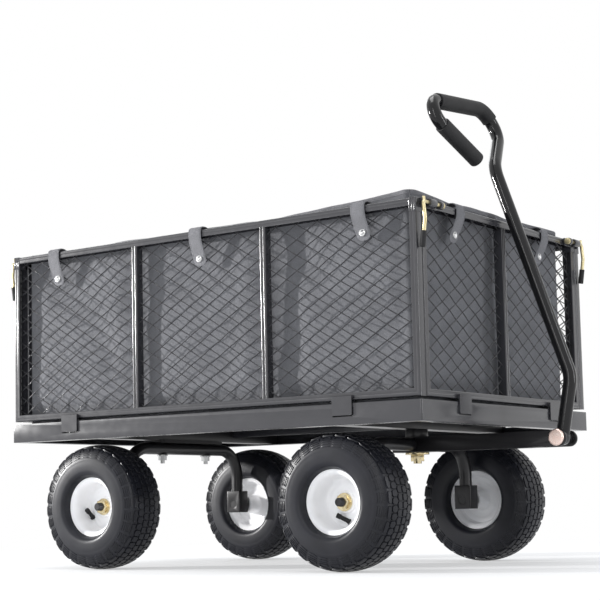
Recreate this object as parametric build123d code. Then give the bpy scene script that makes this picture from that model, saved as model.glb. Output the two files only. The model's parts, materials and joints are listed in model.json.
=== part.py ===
from build123d import *
from math import atan2, ceil, cos, degrees, hypot, radians, sin
import os

# Four-wheel garden cart with fold-down mesh sides and a snap-in fabric liner.
# Millimetres. +X is the front (handle end), +Z is up, the ground is z = 0.
# The cart is drawn about the middle of its bed and moved at the end, so that the
# origin is on the ground in the middle of the overall length.

# ---- wheels: 10 inch pneumatic tyres on two-part steel rims
TYRE_R = 127.0
TYRE_WIDTH = 100.0
TYRE_WALL = 7.0
SIDEWALL_R = 92.0           # where the tyre is widest
TREAD_WIDTH = 78.0
TREAD_THICK = 8.5
SHOULDER_DROP = 4.0         # from the crown to the tread's edge
SHOULDER_ROUND = 3.0
BEAD_HEEL = 4.0
RIM_LIP_R = 60.5
RIM_WIDTH = 68.0
RIM_LIP_EDGE = 3.0
RIM_BARREL_R = 52.0
RIM_SHEET = 2.5
DISC_Y = -9.0               # the disc's outer face, from the wheel's middle plane
DISC_INNER_R = 34.0
DISC_OUTER_R = 41.0
DISC_STEP = 3.5             # the disc's outer ring lies deeper by this much
HUB_R = 20.5
HUB_LENGTH = 49.0
HUB_FACE_INSET = 3.0        # the hub's outer face, inboard of the wheel's middle plane
BEARING_R = 16.0
BEARING_WIDTH = 11.0
BEARING_SEAT_GAP = 0.05
HUB_BORE_GAP = 3.0          # the hub's middle is bored wider than the axle
WHEEL_TRACK_HALF = 265.0
REAR_AXLE_X = -305.0
FRONT_AXLE_X = 290.0

# ---- axles
AXLE_R = 8.0
RUNNING_GAP = 0.08          # radial clearance of everything that turns on a pin
SIDE_GAP = 0.3              # clearance along a pin, and between parts that slide past
SEAT_GAP = 0.05             # radial clearance of what is pressed or welded in place
AXLE_END_BEYOND_NUT = 10.0
COLLAR_R = 13.0
COLLAR_LENGTH = 6.0
AXLE_WASHER_R = 17.0
WASHER_THICK = 2.5
AXLE_NUT_ACROSS = 24.0
AXLE_NUT_HEIGHT = 9.5
AXLE_END_CHAMFER = 1.5

# ---- axle arches: bent tube with a boxed foot for each stub axle
ARCH_TUBE_R = 12.75
ARCH_WALL = 2.5
ARCH_BEND_R = 60.0
FRONT_ARCH_DROP = 12.5      # the front crossbar sits lower than the rear one
FOOT_LENGTH = 38.0
FOOT_WIDTH = 32.0
FOOT_EDGE_R = 3.0
FOOT_BELOW_AXLE = 18.0
FOOT_ABOVE_AXLE = 30.0
FOOT_TO_COLLAR = 1.5
LEG_END_ABOVE_AXLE = 12.0
MOUNT_PLATE_LENGTH = 210.0
MOUNT_PLATE_WIDTH = 56.0
MOUNT_PLATE_THICK = 5.7
MOUNT_PLATE_LAP = 1.0       # how far the arch's tube is let into the plate
MOUNT_PLATE_CORNER_R = 8.0
MOUNT_BOLT_HALF_SPACING = 74.0
MOUNT_BOLT_R = 5.0
BOLT_HOLE_GAP = 0.4
MOUNT_BOLT_ACROSS = 17.0
MOUNT_BOLT_HEAD = 6.4
MOUNT_NUT_HEIGHT = 9.0
MOUNT_NUT_FLANGE_R = 11.5
MOUNT_NUT_FLANGE_THICK = 3.0
BOLT_END_BEYOND_NUT = 7.0

# ---- bed frame: steel channel that opens inward, mitred at the corners
BED_LENGTH = 1000.0
BED_WIDTH = 660.0
BED_HEIGHT = 38.0
BED_ABOVE_TYRE = 10.5
BED_WALL = 2.5
BED_FLANGE = 25.0
BED_CORNER_R = 4.0
BEAM_WIDTH = 40.0
BEAM_WALL = 2.5
BEAM_END_GAP = 2.0          # from a beam's end to the panel tabs' hooks
STRINGER_Y = 150.0
STRINGER_WIDTH = 25.0
STRINGER_HEIGHT = 20.0
DECK_WIRE = 2.4
DECK_LAYER = 1.25

# ---- fold-down panels: folded channel frames round a diamond mesh
PANEL_INSET = 3.0
PANEL_GAP = 5.5
PANEL_HEIGHT = 350.0
PANEL_THICK = 20.0
PANEL_BAR = 14.0
PANEL_SHEET = 1.8
PANEL_SIDE_GAP = 1.0        # between an end panel's edge and the side panel beside it
GROOVE_WIDTH = 4.0
GROOVE_DEPTH = 0.8
CAP_HEIGHT = 25.0
CAP_PROUD = 1.0
SIDE_POST_X = 160.0
MESH_WIDTH = 48.0
MESH_HEIGHT = 29.0
MESH_WIRE = 2.4
MESH_LAYER = 1.2
MESH_IN_CHANNEL = 8.0
SIDE_TAB_X = 335.0
END_TAB_Y = 180.0
TAB_WIDTH = 43.0
TAB_THICK = 3.0
TAB_CORNER_R = 3.0
TAB_BELOW_BED_TOP = 21.5
TAB_ON_RAIL = 8.0
TAB_LIP = 8.0
TAB_LIP_THICK = 2.5
TAB_LIP_WIDTH = 36.0
HINGE_ABOVE_TAB_END = 3.0
SLOT_SIDE_GAP = 0.6         # between a slot's ends and the tab that turns in it
SLOT_ABOVE_LIP = 2.0
SLOT_BELOW_TAB = 2.0

# ---- corner latches: a rod that turns in a barrel on the end panel
LATCH_ROD_R = 3.5
LATCH_OUT = 11.0            # rod axis, out from the panel's outer face
LATCH_BELOW_TOP = 8.0
EYE_FROM_SIDE = 69.0        # eye, barrel, lever and ear, from the side panel's outer face
BARREL_FROM_SIDE = 47.0
LEVER_FROM_SIDE = 8.5
KEEPER_FROM_SIDE = 18.0
LATCH_HEAD_R = 6.5
LATCH_HEAD_THICK = 5.0
EYE_WIDTH = 7.0
BARREL_LENGTH = 21.0
GUIDE_R = 7.5
GUIDE_PLATE_THICK = 3.0
GUIDE_PLATE_DROP = 16.0
LEVER_BEND_DROP = 31.0
LEVER_BEND_OUT = 3.0
LEVER_DROP = 79.0
LEVER_END_IN = 4.0
LEVER_CORNER_R = 6.0
LEVER_BEND_R = 18.0
FINGER_R = 2.8
FINGER_TO_CAP = 1.0
SLEEVE_R = 5.2
SLEEVE_LENGTH = 27.0
SLEEVE_END = 2.0
KEEPER_THICK = 3.5
KEEPER_HEIGHT = 18.0
KEEPER_TO_ROD = 0.8

# ---- drawbar, kingpin and handle
DRAWBAR_WIDTH = 40.0
DRAWBAR_HEIGHT = 30.0
DRAWBAR_WALL = 3.0
DRAWBAR_BEHIND = 45.0
DRAWBAR_LENGTH = 315.0
YOKE_THICK = 4.0
YOKE_LAP = 40.0
YOKE_END = 19.0
PIN_FROM_TUBE_END = 43.0
PIN_UP = 1.5                # above the drawbar's middle line
PIN_R = 6.0
PIN_HEAD_R = 15.5
PIN_HEAD_THICK = 6.0
PIN_HEAD_EDGE_R = 3.0
PIN_NUT_ACROSS = 19.0
PIN_NUT_HEIGHT = 8.0
PIN_END = 3.0
KINGPIN_R = 8.0
KINGPIN_HEAD_ACROSS = 24.0
KINGPIN_HEAD = 8.0
BUSH_R = 22.0
KINGPIN_WASHER_R = 23.5
KINGPIN_WASHER_THICK = 4.3
KINGPIN_NUT_ACROSS = 26.0
KINGPIN_NUT_HEIGHT = 13.0
KINGPIN_END = 4.5
CLAMP_BOLT_BACK = 19.0      # cross bolt behind the kingpin
CLAMP_BOLT_R = 4.0
CLAMP_BOLT_ACROSS = 13.0
CLAMP_BOLT_HEAD = 5.5
CLAMP_BOLT_TIP = 2.0

HANDLE_R = 12.5
HANDLE_WALL = 2.0
HANDLE_BARREL_R = 14.0
HANDLE_KICK_X = 21.5        # the lower length leans forward by this much
HANDLE_KICK_Z = 113.1
HANDLE_LEAN = 19.2          # the shaft then leans back, in degrees
HANDLE_NECK = 436.0
HANDLE_KICK_R = 60.0
HANDLE_NECK_R = 60.0
# the grip loop's corners, as (across the cart, along the shaft beyond the neck)
LOOP_RIGHT = (133.0, 150.0)
LOOP_LEFT = (-230.5, 108.3)
LOOP_END = (-65.5, 7.0)
LOOP_RIGHT_R = 43.0
LOOP_LEFT_R = 29.0
GRIP_R = 15.0
GRIP_END = 3.0
GRIP_START = 0.55           # the top grip starts this share of the way round the right bend

# ---- fabric liner and its snap straps
FABRIC = 2.0
FABRIC_GAP = 0.3
LINER_CORNER_R = 50.0
LINER_ABOVE_RAIL = 18.0
LINER_FLOOR_ABOVE_DECK = 0.3
STRAP_WIDTH = 40.0
STRAP_THICK = 2.0
STRAP_DROP = 70.0
STRAP_END_R = 12.0
SNAP_R = 6.0
SNAP_THICK = 2.0
SNAP_ABOVE_END = 13.0
SIDE_STRAPS_X = (-380.0, 0.0, 385.0)
END_STRAPS_Y = (-170.0, 170.0)

CUT = 5.0                   # how far a cutting block runs past what it cuts

# ---- heights and faces that follow from the sizes above
AXLE_Z = TYRE_R
BED_BOTTOM = 2 * TYRE_R + BED_ABOVE_TYRE
BED_TOP = BED_BOTTOM + BED_HEIGHT
DECK_TOP = BED_TOP - BED_WALL
BEAM_BOTTOM = BED_BOTTOM + BED_WALL
BEAM_TOP = DECK_TOP - 2 * DECK_LAYER
PANEL_BOTTOM = BED_TOP + PANEL_GAP
PANEL_TOP = PANEL_BOTTOM + PANEL_HEIGHT
SIDE_FACE = BED_WIDTH / 2 - PANEL_INSET
END_FACE = BED_LENGTH / 2 - PANEL_INSET
SIDE_INNER = SIDE_FACE - PANEL_THICK
END_INNER = END_FACE - PANEL_THICK
TAB_BOTTOM = BED_TOP - TAB_BELOW_BED_TOP
HINGE_Z = TAB_BOTTOM + HINGE_ABOVE_TAB_END
HINGE_OUT = PANEL_INSET + SIDE_GAP
HUB_OUTER_Y = WHEEL_TRACK_HALF - HUB_FACE_INSET
HUB_INNER_Y = HUB_OUTER_Y - HUB_LENGTH
FOOT_OUTER_Y = HUB_INNER_Y - SIDE_GAP - COLLAR_LENGTH - FOOT_TO_COLLAR
FOOT_INNER_Y = FOOT_OUTER_Y - FOOT_WIDTH
LEG_Y = (FOOT_OUTER_Y + FOOT_INNER_Y) / 2
REAR_BAR_Z = BEAM_BOTTOM - MOUNT_PLATE_THICK + MOUNT_PLATE_LAP - ARCH_TUBE_R
FRONT_BAR_Z = REAR_BAR_Z - FRONT_ARCH_DROP
DRAWBAR_TOP = FRONT_BAR_Z + DRAWBAR_HEIGHT / 2
DRAWBAR_BOTTOM = FRONT_BAR_Z - DRAWBAR_HEIGHT / 2
DRAWBAR_START = FRONT_AXLE_X - DRAWBAR_BEHIND
DRAWBAR_END = DRAWBAR_START + DRAWBAR_LENGTH
PIN_X = DRAWBAR_END + PIN_FROM_TUBE_END
PIN_Z = FRONT_BAR_Z + PIN_UP
LATCH_Z = PANEL_TOP - LATCH_BELOW_TOP
LATCH_INNER_Y = SIDE_FACE - EYE_FROM_SIDE
BARREL_START_Y = SIDE_FACE - BARREL_FROM_SIDE
LATCH_LEVER_Y = SIDE_FACE - LEVER_FROM_SIDE
FINGER_LENGTH = LATCH_OUT - CAP_PROUD - FINGER_TO_CAP


# ---- small helpers
def block(x0, x1, y0, y1, z0, z1):
    """A box between two corners."""
    return Pos((x0 + x1) / 2, (y0 + y1) / 2, (z0 + z1) / 2) * Box(x1 - x0, y1 - y0, z1 - z0)


def rod_y(x, z, y0, y1, radius):
    """A round bar along Y."""
    return Pos(x, (y0 + y1) / 2, z) * Rot(90, 0, 0) * Cylinder(radius, y1 - y0)


def rod_z(x, y, z0, z1, radius):
    """A round bar along Z."""
    return Pos(x, y, (z0 + z1) / 2) * Cylinder(radius, z1 - z0)


def hex_z(x, y, z0, z1, across):
    """A hexagon bar along Z."""
    return Pos(x, y, z0) * extrude(RegularPolygon(across / 2, 6, major_radius=False), z1 - z0)


def hex_y(x, z, y0, y1, across):
    """A hexagon bar along Y."""
    return Pos(x, y1, z) * Rot(90, 0, 0) * extrude(RegularPolygon(across / 2, 6, major_radius=False), y1 - y0)


def group(*pieces):
    """One compound of separate solids."""
    return Compound([solid for piece in pieces for solid in piece.solids()])


def both_sides(piece):
    """A piece and its mirror image across the cart's middle plane."""
    return group(piece, mirror(piece, about=Plane.XZ))


def tube_along(path, radius, bore):
    """A tube, or a solid bar when bore is 0, swept along a path."""
    section = Circle(radius)
    if bore:
        section = section - Circle(bore)
    plane = Plane(origin=path @ 0, z_dir=path % 0)
    return sweep(plane * section, path=path)


def diamond_mesh(u0, u1, w0, w1, wire, layer):
    """Two layers of crossing flat wires that fill a rectangle, as bars in the X-Y plane.

    The lower layer lies at z -layer..0 and the upper one at 0..layer.
    """
    middle_u, middle_w = (u0 + u1) / 2, (w0 + w1) / 2
    lean = atan2(MESH_HEIGHT, MESH_WIDTH)
    reach = hypot(u1 - u0, w1 - w0)
    count = ceil((u1 - u0) / MESH_WIDTH / 2 + (w1 - w0) / MESH_HEIGHT / 2)
    edge = wire / 2 / cos(lean)
    bars = []
    for side in (-1, 1):
        frame = block(u0, u1, w0, w1, min(side * layer, 0), max(side * layer, 0))
        for step in range(-count, count + 1):
            # where the bar crosses the rectangle's middle height
            cross = middle_u + (step + 0.5) * MESH_WIDTH
            half_run = (w1 - w0) / 2 * MESH_WIDTH / MESH_HEIGHT
            if cross - half_run > u1 - edge or cross + half_run < u0 + edge:
                continue
            bar = Pos(cross, middle_w, side * layer / 2) * Rot(0, 0, side * degrees(lean))
            bar = (bar * Box(2 * reach, wire, layer)) & frame
            bars += [solid for solid in bar.solids() if solid.volume > wire ** 2 * layer * 2]
    return group(*bars)


def stand_up(flat):
    """Turn a drawing in the X-Y plane to stand along X and Z, its top face outward (+Y)."""
    return Rot(90, 0, 0) * flat


# ---- wheels
def tyre():
    """A hollow tyre, revolved about Y, open towards the rim."""
    half = TYRE_WIDTH / 2
    bead = RIM_WIDTH / 2 - RIM_LIP_EDGE
    inner_bead = bead - TYRE_WALL
    tread = TREAD_WIDTH / 2
    tread_r = TYRE_R - SHOULDER_DROP
    shoulder = (tread + SHOULDER_ROUND, tread_r - SHOULDER_ROUND / 2)
    foot = Polyline((inner_bead, RIM_BARREL_R), (bead, RIM_BARREL_R), (bead, RIM_LIP_R))
    lower_wall = TangentArc((half, SIDEWALL_R), (bead, RIM_LIP_R), tangent=(0, -1))
    upper_wall = TangentArc((half, SIDEWALL_R), shoulder, tangent=(0, 1))
    right = foot + lower_wall + upper_wall + Line(shoulder, (tread, tread_r))
    crown = ThreePointArc((tread, tread_r), (0, TYRE_R), (-tread, tread_r))
    hollow = [(inner_bead, RIM_BARREL_R), (inner_bead, RIM_LIP_R + BEAD_HEEL), (half - TYRE_WALL, SIDEWALL_R),
              (tread - TYRE_WALL / 2, tread_r - TREAD_THICK), (0, TYRE_R - TREAD_THICK)]
    inside = Polyline(hollow + [(-y, r) for y, r in reversed(hollow[:-1])])
    face = make_face(right + crown + mirror(right, about=Plane.YZ) + inside)
    return Rot(0, 0, 90) * revolve(face, Axis.X)


def rim():
    """A dished steel rim with a hub tube, revolved about Y; +Y is the outer side."""
    half = RIM_WIDTH / 2
    lip = half - RIM_LIP_EDGE
    hub_out = -HUB_FACE_INSET
    hub_in = hub_out - HUB_LENGTH
    barrel_in = RIM_BARREL_R - RIM_SHEET
    ring_y = DISC_Y - DISC_STEP
    seat_r = BEARING_R + BEARING_SEAT_GAP
    bore_r = AXLE_R + HUB_BORE_GAP
    outline = Polyline(
        (half, RIM_LIP_R), (lip, RIM_LIP_R), (lip, RIM_BARREL_R), (-lip, RIM_BARREL_R),
        (-lip, RIM_LIP_R), (-half, RIM_LIP_R), (-half, barrel_in), (ring_y - RIM_SHEET, barrel_in),
        (ring_y - RIM_SHEET, DISC_OUTER_R), (DISC_Y - RIM_SHEET, DISC_INNER_R), (DISC_Y - RIM_SHEET, HUB_R),
        (hub_in, HUB_R), (hub_in, seat_r), (hub_in + BEARING_WIDTH, seat_r),
        (hub_in + BEARING_WIDTH, bore_r), (hub_out - BEARING_WIDTH, bore_r),
        (hub_out - BEARING_WIDTH, seat_r), (hub_out, seat_r), (hub_out, HUB_R), (DISC_Y, HUB_R),
        (DISC_Y, DISC_INNER_R), (ring_y, DISC_OUTER_R), (ring_y, barrel_in), (half, barrel_in), close=True,
    )
    shell = Rot(0, 0, 90) * revolve(make_face(outline), Axis.X)
    pieces = [shell]
    for start in (hub_in, hub_out - BEARING_WIDTH):
        ring = rod_y(0, 0, start, start + BEARING_WIDTH, BEARING_R)
        pieces.append(ring - rod_y(0, 0, start - CUT, start + BEARING_WIDTH + CUT, AXLE_R + RUNNING_GAP))
    return group(*pieces)


def at_wheel(piece, x, side):
    """Put a wheel's piece at its axle; side is -1 for the right wheel and 1 for the left one."""
    turned = piece if side > 0 else Rot(0, 0, 180) * piece
    return Pos(x, side * WHEEL_TRACK_HALF, AXLE_Z) * turned


# ---- axles
def stub_axle(x):
    """The +Y stub axle with the collar that the hub runs against."""
    end = HUB_OUTER_Y + SIDE_GAP + WASHER_THICK + AXLE_NUT_HEIGHT + AXLE_END_BEYOND_NUT
    bar = rod_y(x, AXLE_Z, FOOT_INNER_Y, end, AXLE_R)
    bar = chamfer(bar.edges().sort_by(Axis.Y)[-1], AXLE_END_CHAMFER)
    collar_end = HUB_INNER_Y - SIDE_GAP
    return bar + rod_y(x, AXLE_Z, collar_end - COLLAR_LENGTH, collar_end, COLLAR_R)


def axle_nut(x):
    """The washer and nut that keep the +Y wheel on."""
    start = HUB_OUTER_Y + SIDE_GAP
    bore = rod_y(x, AXLE_Z, start - CUT, start + 2 * AXLE_NUT_HEIGHT, AXLE_R + SEAT_GAP)
    washer = rod_y(x, AXLE_Z, start, start + WASHER_THICK, AXLE_WASHER_R) - bore
    nut = hex_y(x, AXLE_Z, start + WASHER_THICK, start + WASHER_THICK + AXLE_NUT_HEIGHT, AXLE_NUT_ACROSS)
    return group(washer, nut - bore)


def foot(x):
    """The +Y boxed foot: a socket for the arch's leg over a cross bore for the stub axle."""
    leg_seat = AXLE_Z + LEG_END_ABOVE_AXLE
    box = block(x - FOOT_LENGTH / 2, x + FOOT_LENGTH / 2, FOOT_INNER_Y, FOOT_OUTER_Y,
                AXLE_Z - FOOT_BELOW_AXLE, AXLE_Z + FOOT_ABOVE_AXLE)
    box = fillet(box.edges().filter_by(Axis.Z), FOOT_EDGE_R)
    box -= rod_z(x, LEG_Y, leg_seat, AXLE_Z + FOOT_ABOVE_AXLE + CUT, ARCH_TUBE_R + SEAT_GAP)
    return box - rod_y(x, AXLE_Z, FOOT_INNER_Y - CUT, FOOT_OUTER_Y + CUT, AXLE_R + SEAT_GAP)


def arch(x, bar_z):
    """The bent tube between the two feet of an axle."""
    leg_end = AXLE_Z + LEG_END_ABOVE_AXLE
    path = FilletPolyline((x, -LEG_Y, leg_end), (x, -LEG_Y, bar_z), (x, LEG_Y, bar_z), (x, LEG_Y, leg_end),
                          radius=ARCH_BEND_R)
    return tube_along(path, ARCH_TUBE_R, ARCH_TUBE_R - ARCH_WALL)


def rear_arch():
    """The rear arch, welded under the plate that bolts to the rear cross beam."""
    plate = block(REAR_AXLE_X - MOUNT_PLATE_WIDTH / 2, REAR_AXLE_X + MOUNT_PLATE_WIDTH / 2,
                  -MOUNT_PLATE_LENGTH / 2, MOUNT_PLATE_LENGTH / 2,
                  BEAM_BOTTOM - MOUNT_PLATE_THICK, BEAM_BOTTOM)
    plate = fillet(plate.edges().filter_by(Axis.Z), MOUNT_PLATE_CORNER_R)
    bore = rod_y(REAR_AXLE_X, REAR_BAR_Z, -MOUNT_PLATE_LENGTH, MOUNT_PLATE_LENGTH, ARCH_TUBE_R - ARCH_WALL)
    piece = arch(REAR_AXLE_X, REAR_BAR_Z) + (plate - bore)
    for y in (-MOUNT_BOLT_HALF_SPACING, MOUNT_BOLT_HALF_SPACING):
        piece -= rod_z(REAR_AXLE_X, y, REAR_BAR_Z - 2 * ARCH_TUBE_R, BEAM_BOTTOM + CUT,
                       MOUNT_BOLT_R + BOLT_HOLE_GAP)
    return piece


def front_arch():
    """The front arch, with the kingpin's hole through its crossbar."""
    hole = rod_z(FRONT_AXLE_X, 0, FRONT_BAR_Z - 2 * ARCH_TUBE_R, FRONT_BAR_Z + 2 * ARCH_TUBE_R,
                 KINGPIN_R + RUNNING_GAP)
    return arch(FRONT_AXLE_X, FRONT_BAR_Z) - hole


def mount_bolt():
    """One bolt and flange nut that hold the rear arch under its beam."""
    y = MOUNT_BOLT_HALF_SPACING
    head_z = BEAM_BOTTOM + BEAM_WALL
    nut_top = REAR_BAR_Z - ARCH_TUBE_R
    nut_bottom = nut_top - MOUNT_NUT_FLANGE_THICK - MOUNT_NUT_HEIGHT
    bolt = rod_z(REAR_AXLE_X, y, nut_bottom - BOLT_END_BEYOND_NUT, head_z, MOUNT_BOLT_R)
    bolt += hex_z(REAR_AXLE_X, y, head_z, head_z + MOUNT_BOLT_HEAD, MOUNT_BOLT_ACROSS)
    nut = rod_z(REAR_AXLE_X, y, nut_top - MOUNT_NUT_FLANGE_THICK, nut_top, MOUNT_NUT_FLANGE_R)
    nut += hex_z(REAR_AXLE_X, y, nut_bottom, nut_top - MOUNT_NUT_FLANGE_THICK, MOUNT_BOLT_ACROSS)
    nut -= rod_z(REAR_AXLE_X, y, nut_bottom - CUT, nut_top + CUT, MOUNT_BOLT_R + SEAT_GAP)
    return group(bolt, nut)


# ---- bed
def bed_frame():
    """The whole mitred channel frame, before it is cut into its four rails."""
    half_x, half_y = BED_LENGTH / 2, BED_WIDTH / 2
    ring = block(-half_x, half_x, -half_y, half_y, BED_BOTTOM, BED_TOP)
    ring = fillet(ring.edges().filter_by(Axis.Z), BED_CORNER_R)
    ring -= block(BED_FLANGE - half_x, half_x - BED_FLANGE, BED_FLANGE - half_y, half_y - BED_FLANGE,
                  BED_BOTTOM - CUT, BED_TOP + CUT)
    ring -= block(BED_WALL - half_x, half_x - BED_WALL, BED_WALL - half_y, half_y - BED_WALL,
                  BED_BOTTOM + BED_WALL, BED_TOP - BED_WALL)
    slot_low = TAB_BOTTOM - SLOT_BELOW_TAB
    slot_high = HINGE_Z + TAB_LIP + SLOT_ABOVE_LIP
    slot_half = TAB_WIDTH / 2 + SLOT_SIDE_GAP
    for x in (-SIDE_TAB_X, SIDE_TAB_X):
        ring -= block(x - slot_half, x + slot_half, -half_y - CUT, half_y + CUT, slot_low, slot_high)
    for y in (-END_TAB_Y, END_TAB_Y):
        ring -= block(-half_x - CUT, half_x + CUT, y - slot_half, y + slot_half, slot_low, slot_high)
    return ring


def mitre_wedge(half_long, half_short):
    """The region outside the mitre lines on the +Y side of a rectangle, as a tall prism."""
    depth = 3 * BED_FLANGE
    outline = Polyline(
        (-half_long - CUT, half_short + CUT), (half_long + CUT, half_short + CUT),
        (half_long - depth, half_short - depth), (depth - half_long, half_short - depth), close=True,
    )
    return Pos(0, 0, BED_BOTTOM - CUT) * extrude(make_face(outline), BED_HEIGHT + 2 * CUT)


def cross_beam(x):
    """A rectangular tube across the bed, on the side rails' lower flanges."""
    half = BEAM_WIDTH / 2
    reach = SIDE_FACE + HINGE_OUT - TAB_LIP - BEAM_END_GAP
    beam = block(x - half, x + half, -reach, reach, BEAM_BOTTOM, BEAM_TOP)
    return beam - block(x - half + BEAM_WALL, x + half - BEAM_WALL, -reach - CUT, reach + CUT,
                        BEAM_BOTTOM + BEAM_WALL, BEAM_TOP - BEAM_WALL)


def cross_beams():
    """Both beams, drilled for the rear arch's bolts and for the kingpin."""
    rear = cross_beam(REAR_AXLE_X)
    for y in (-MOUNT_BOLT_HALF_SPACING, MOUNT_BOLT_HALF_SPACING):
        rear -= rod_z(REAR_AXLE_X, y, BEAM_BOTTOM - CUT, BEAM_BOTTOM + BEAM_WALL + CUT,
                      MOUNT_BOLT_R + BOLT_HOLE_GAP)
    front = cross_beam(FRONT_AXLE_X)
    front -= rod_z(FRONT_AXLE_X, 0, BEAM_BOTTOM - CUT, BEAM_BOTTOM + BEAM_WALL + CUT, KINGPIN_R + SEAT_GAP)
    return group(rear, front)


def stringers():
    """Angle bars under the deck, between the end rails and the beams."""
    half_x = BED_LENGTH / 2 - BED_WALL
    stops = (-half_x, REAR_AXLE_X - BEAM_WIDTH / 2, REAR_AXLE_X + BEAM_WIDTH / 2,
             FRONT_AXLE_X - BEAM_WIDTH / 2, FRONT_AXLE_X + BEAM_WIDTH / 2, half_x)
    bars = []
    for start, end in zip(stops[::2], stops[1::2]):
        bar = block(start, end, STRINGER_Y, STRINGER_Y + STRINGER_WIDTH, BEAM_TOP - STRINGER_HEIGHT, BEAM_TOP)
        bar -= block(start - CUT, end + CUT, STRINGER_Y + BEAM_WALL, STRINGER_Y + STRINGER_WIDTH + CUT,
                     BEAM_TOP - STRINGER_HEIGHT - CUT, BEAM_TOP - BEAM_WALL)
        bars.append(both_sides(bar))
    return group(*bars)


def deck_mesh():
    """The load floor: diamond mesh held under the rails' upper flanges."""
    half_x = BED_LENGTH / 2 - BED_WALL - SIDE_GAP
    half_y = BED_WIDTH / 2 - BED_WALL - SIDE_GAP
    return Pos(0, 0, DECK_TOP - DECK_LAYER) * diamond_mesh(-half_x, half_x, -half_y, half_y,
                                                           DECK_WIRE, DECK_LAYER)


# ---- panels, drawn with the outer face at y = 0 and the outside towards +Y
def panel_windows(length, posts):
    """The start and end of each mesh window along a panel."""
    starts = [PANEL_BAR - length / 2] + [post + PANEL_BAR / 2 for post in posts]
    ends = [post - PANEL_BAR / 2 for post in posts] + [length / 2 - PANEL_BAR]
    return list(zip(starts, ends))


def panel_tab(x):
    """A plate that hangs over the bed's face, with a lip that hooks through the rail's slot."""
    half = TAB_WIDTH / 2
    plate = block(x - half, x + half, HINGE_OUT, HINGE_OUT + TAB_THICK,
                  TAB_BOTTOM, PANEL_BOTTOM + TAB_ON_RAIL)
    plate = fillet(plate.edges().filter_by(Axis.Y).sort_by(Axis.Z)[:2], TAB_CORNER_R)
    root = block(x - half, x + half, 0, HINGE_OUT, PANEL_BOTTOM, PANEL_BOTTOM + TAB_ON_RAIL)
    lip_half = TAB_LIP_WIDTH / 2
    lip = block(x - lip_half, x + lip_half, HINGE_OUT - TAB_LIP, HINGE_OUT, TAB_BOTTOM,
                TAB_BOTTOM + TAB_LIP_THICK)
    return plate + root + lip


def panel_frame(length, posts, tabs, cap_end):
    """A channel frame with tube posts, corner caps and hinge tabs."""
    half = length / 2
    sheet = PANEL_SHEET
    frame = block(-half, half, -PANEL_THICK, 0, PANEL_BOTTOM, PANEL_TOP)
    for start, end in panel_windows(length, posts):
        frame -= block(start, end, -PANEL_THICK - CUT, CUT, PANEL_BOTTOM + PANEL_BAR, PANEL_TOP - PANEL_BAR)
    for side in (-1, 1):
        near, far = side * (half - PANEL_BAR), side * (half + cap_end)
        frame += block(min(near, far), max(near, far), -PANEL_THICK, CAP_PROUD,
                       PANEL_TOP - CAP_HEIGHT, PANEL_TOP + CAP_PROUD)
    hollow = block(sheet - half, half - sheet, sheet - PANEL_THICK, -sheet,
                   PANEL_BOTTOM + sheet, PANEL_TOP - sheet)
    for post in posts:
        for side in (-1, 1):
            outer = post + side * PANEL_BAR / 2
            inner = outer - side * sheet
            hollow -= block(min(inner, outer), max(inner, outer), -PANEL_THICK, 0,
                            PANEL_BOTTOM + PANEL_BAR, PANEL_TOP - PANEL_BAR)
    frame -= hollow
    near = (PANEL_BAR - GROOVE_WIDTH) / 2
    far = near + GROOVE_WIDTH
    groove_ring = block(near - half, half - near, -GROOVE_DEPTH, 0, PANEL_BOTTOM + near, PANEL_TOP - near)
    groove_ring -= block(far - half, half - far, -PANEL_THICK, CUT, PANEL_BOTTOM + far, PANEL_TOP - far)
    for post in posts:
        groove_ring += block(post - GROOVE_WIDTH / 2, post + GROOVE_WIDTH / 2, -GROOVE_DEPTH, 0,
                             PANEL_BOTTOM + PANEL_BAR, PANEL_TOP - PANEL_BAR)
    frame -= groove_ring
    for x in tabs:
        frame += panel_tab(x)
    return frame


def panel_mesh(length, posts):
    """The diamond mesh of every window, its outer edges inside the channel."""
    low = PANEL_BOTTOM + PANEL_BAR - MESH_IN_CHANNEL
    high = PANEL_TOP - PANEL_BAR + MESH_IN_CHANNEL
    windows = panel_windows(length, posts)
    sheets = []
    for index, (start, end) in enumerate(windows):
        if index == 0:
            start -= MESH_IN_CHANNEL
        if index == len(windows) - 1:
            end += MESH_IN_CHANNEL
        sheets.append(stand_up(diamond_mesh(start, end, low, high, MESH_WIRE, MESH_LAYER)))
    return Pos(0, -PANEL_THICK / 2, 0) * group(*sheets)


def straps(places):
    """Fabric straps from the liner over the top rail, each with its snap."""
    inner = -PANEL_THICK - FABRIC_GAP
    outer = FABRIC_GAP + CAP_PROUD
    low = PANEL_TOP - STRAP_DROP
    rail = PANEL_TOP + FABRIC_GAP
    pieces = []
    for x in places:
        half = STRAP_WIDTH / 2
        top = block(x - half, x + half, inner, outer + STRAP_THICK, rail, rail + STRAP_THICK)
        drop = block(x - half, x + half, outer, outer + STRAP_THICK, low, rail)
        drop = fillet(drop.edges().filter_by(Axis.Y).sort_by(Axis.Z)[:2], STRAP_END_R)
        snap = rod_y(x, low + SNAP_ABOVE_END, outer + STRAP_THICK, outer + STRAP_THICK + SNAP_THICK, SNAP_R)
        pieces.append(group(top + drop, snap))
    return group(*pieces)


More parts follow.
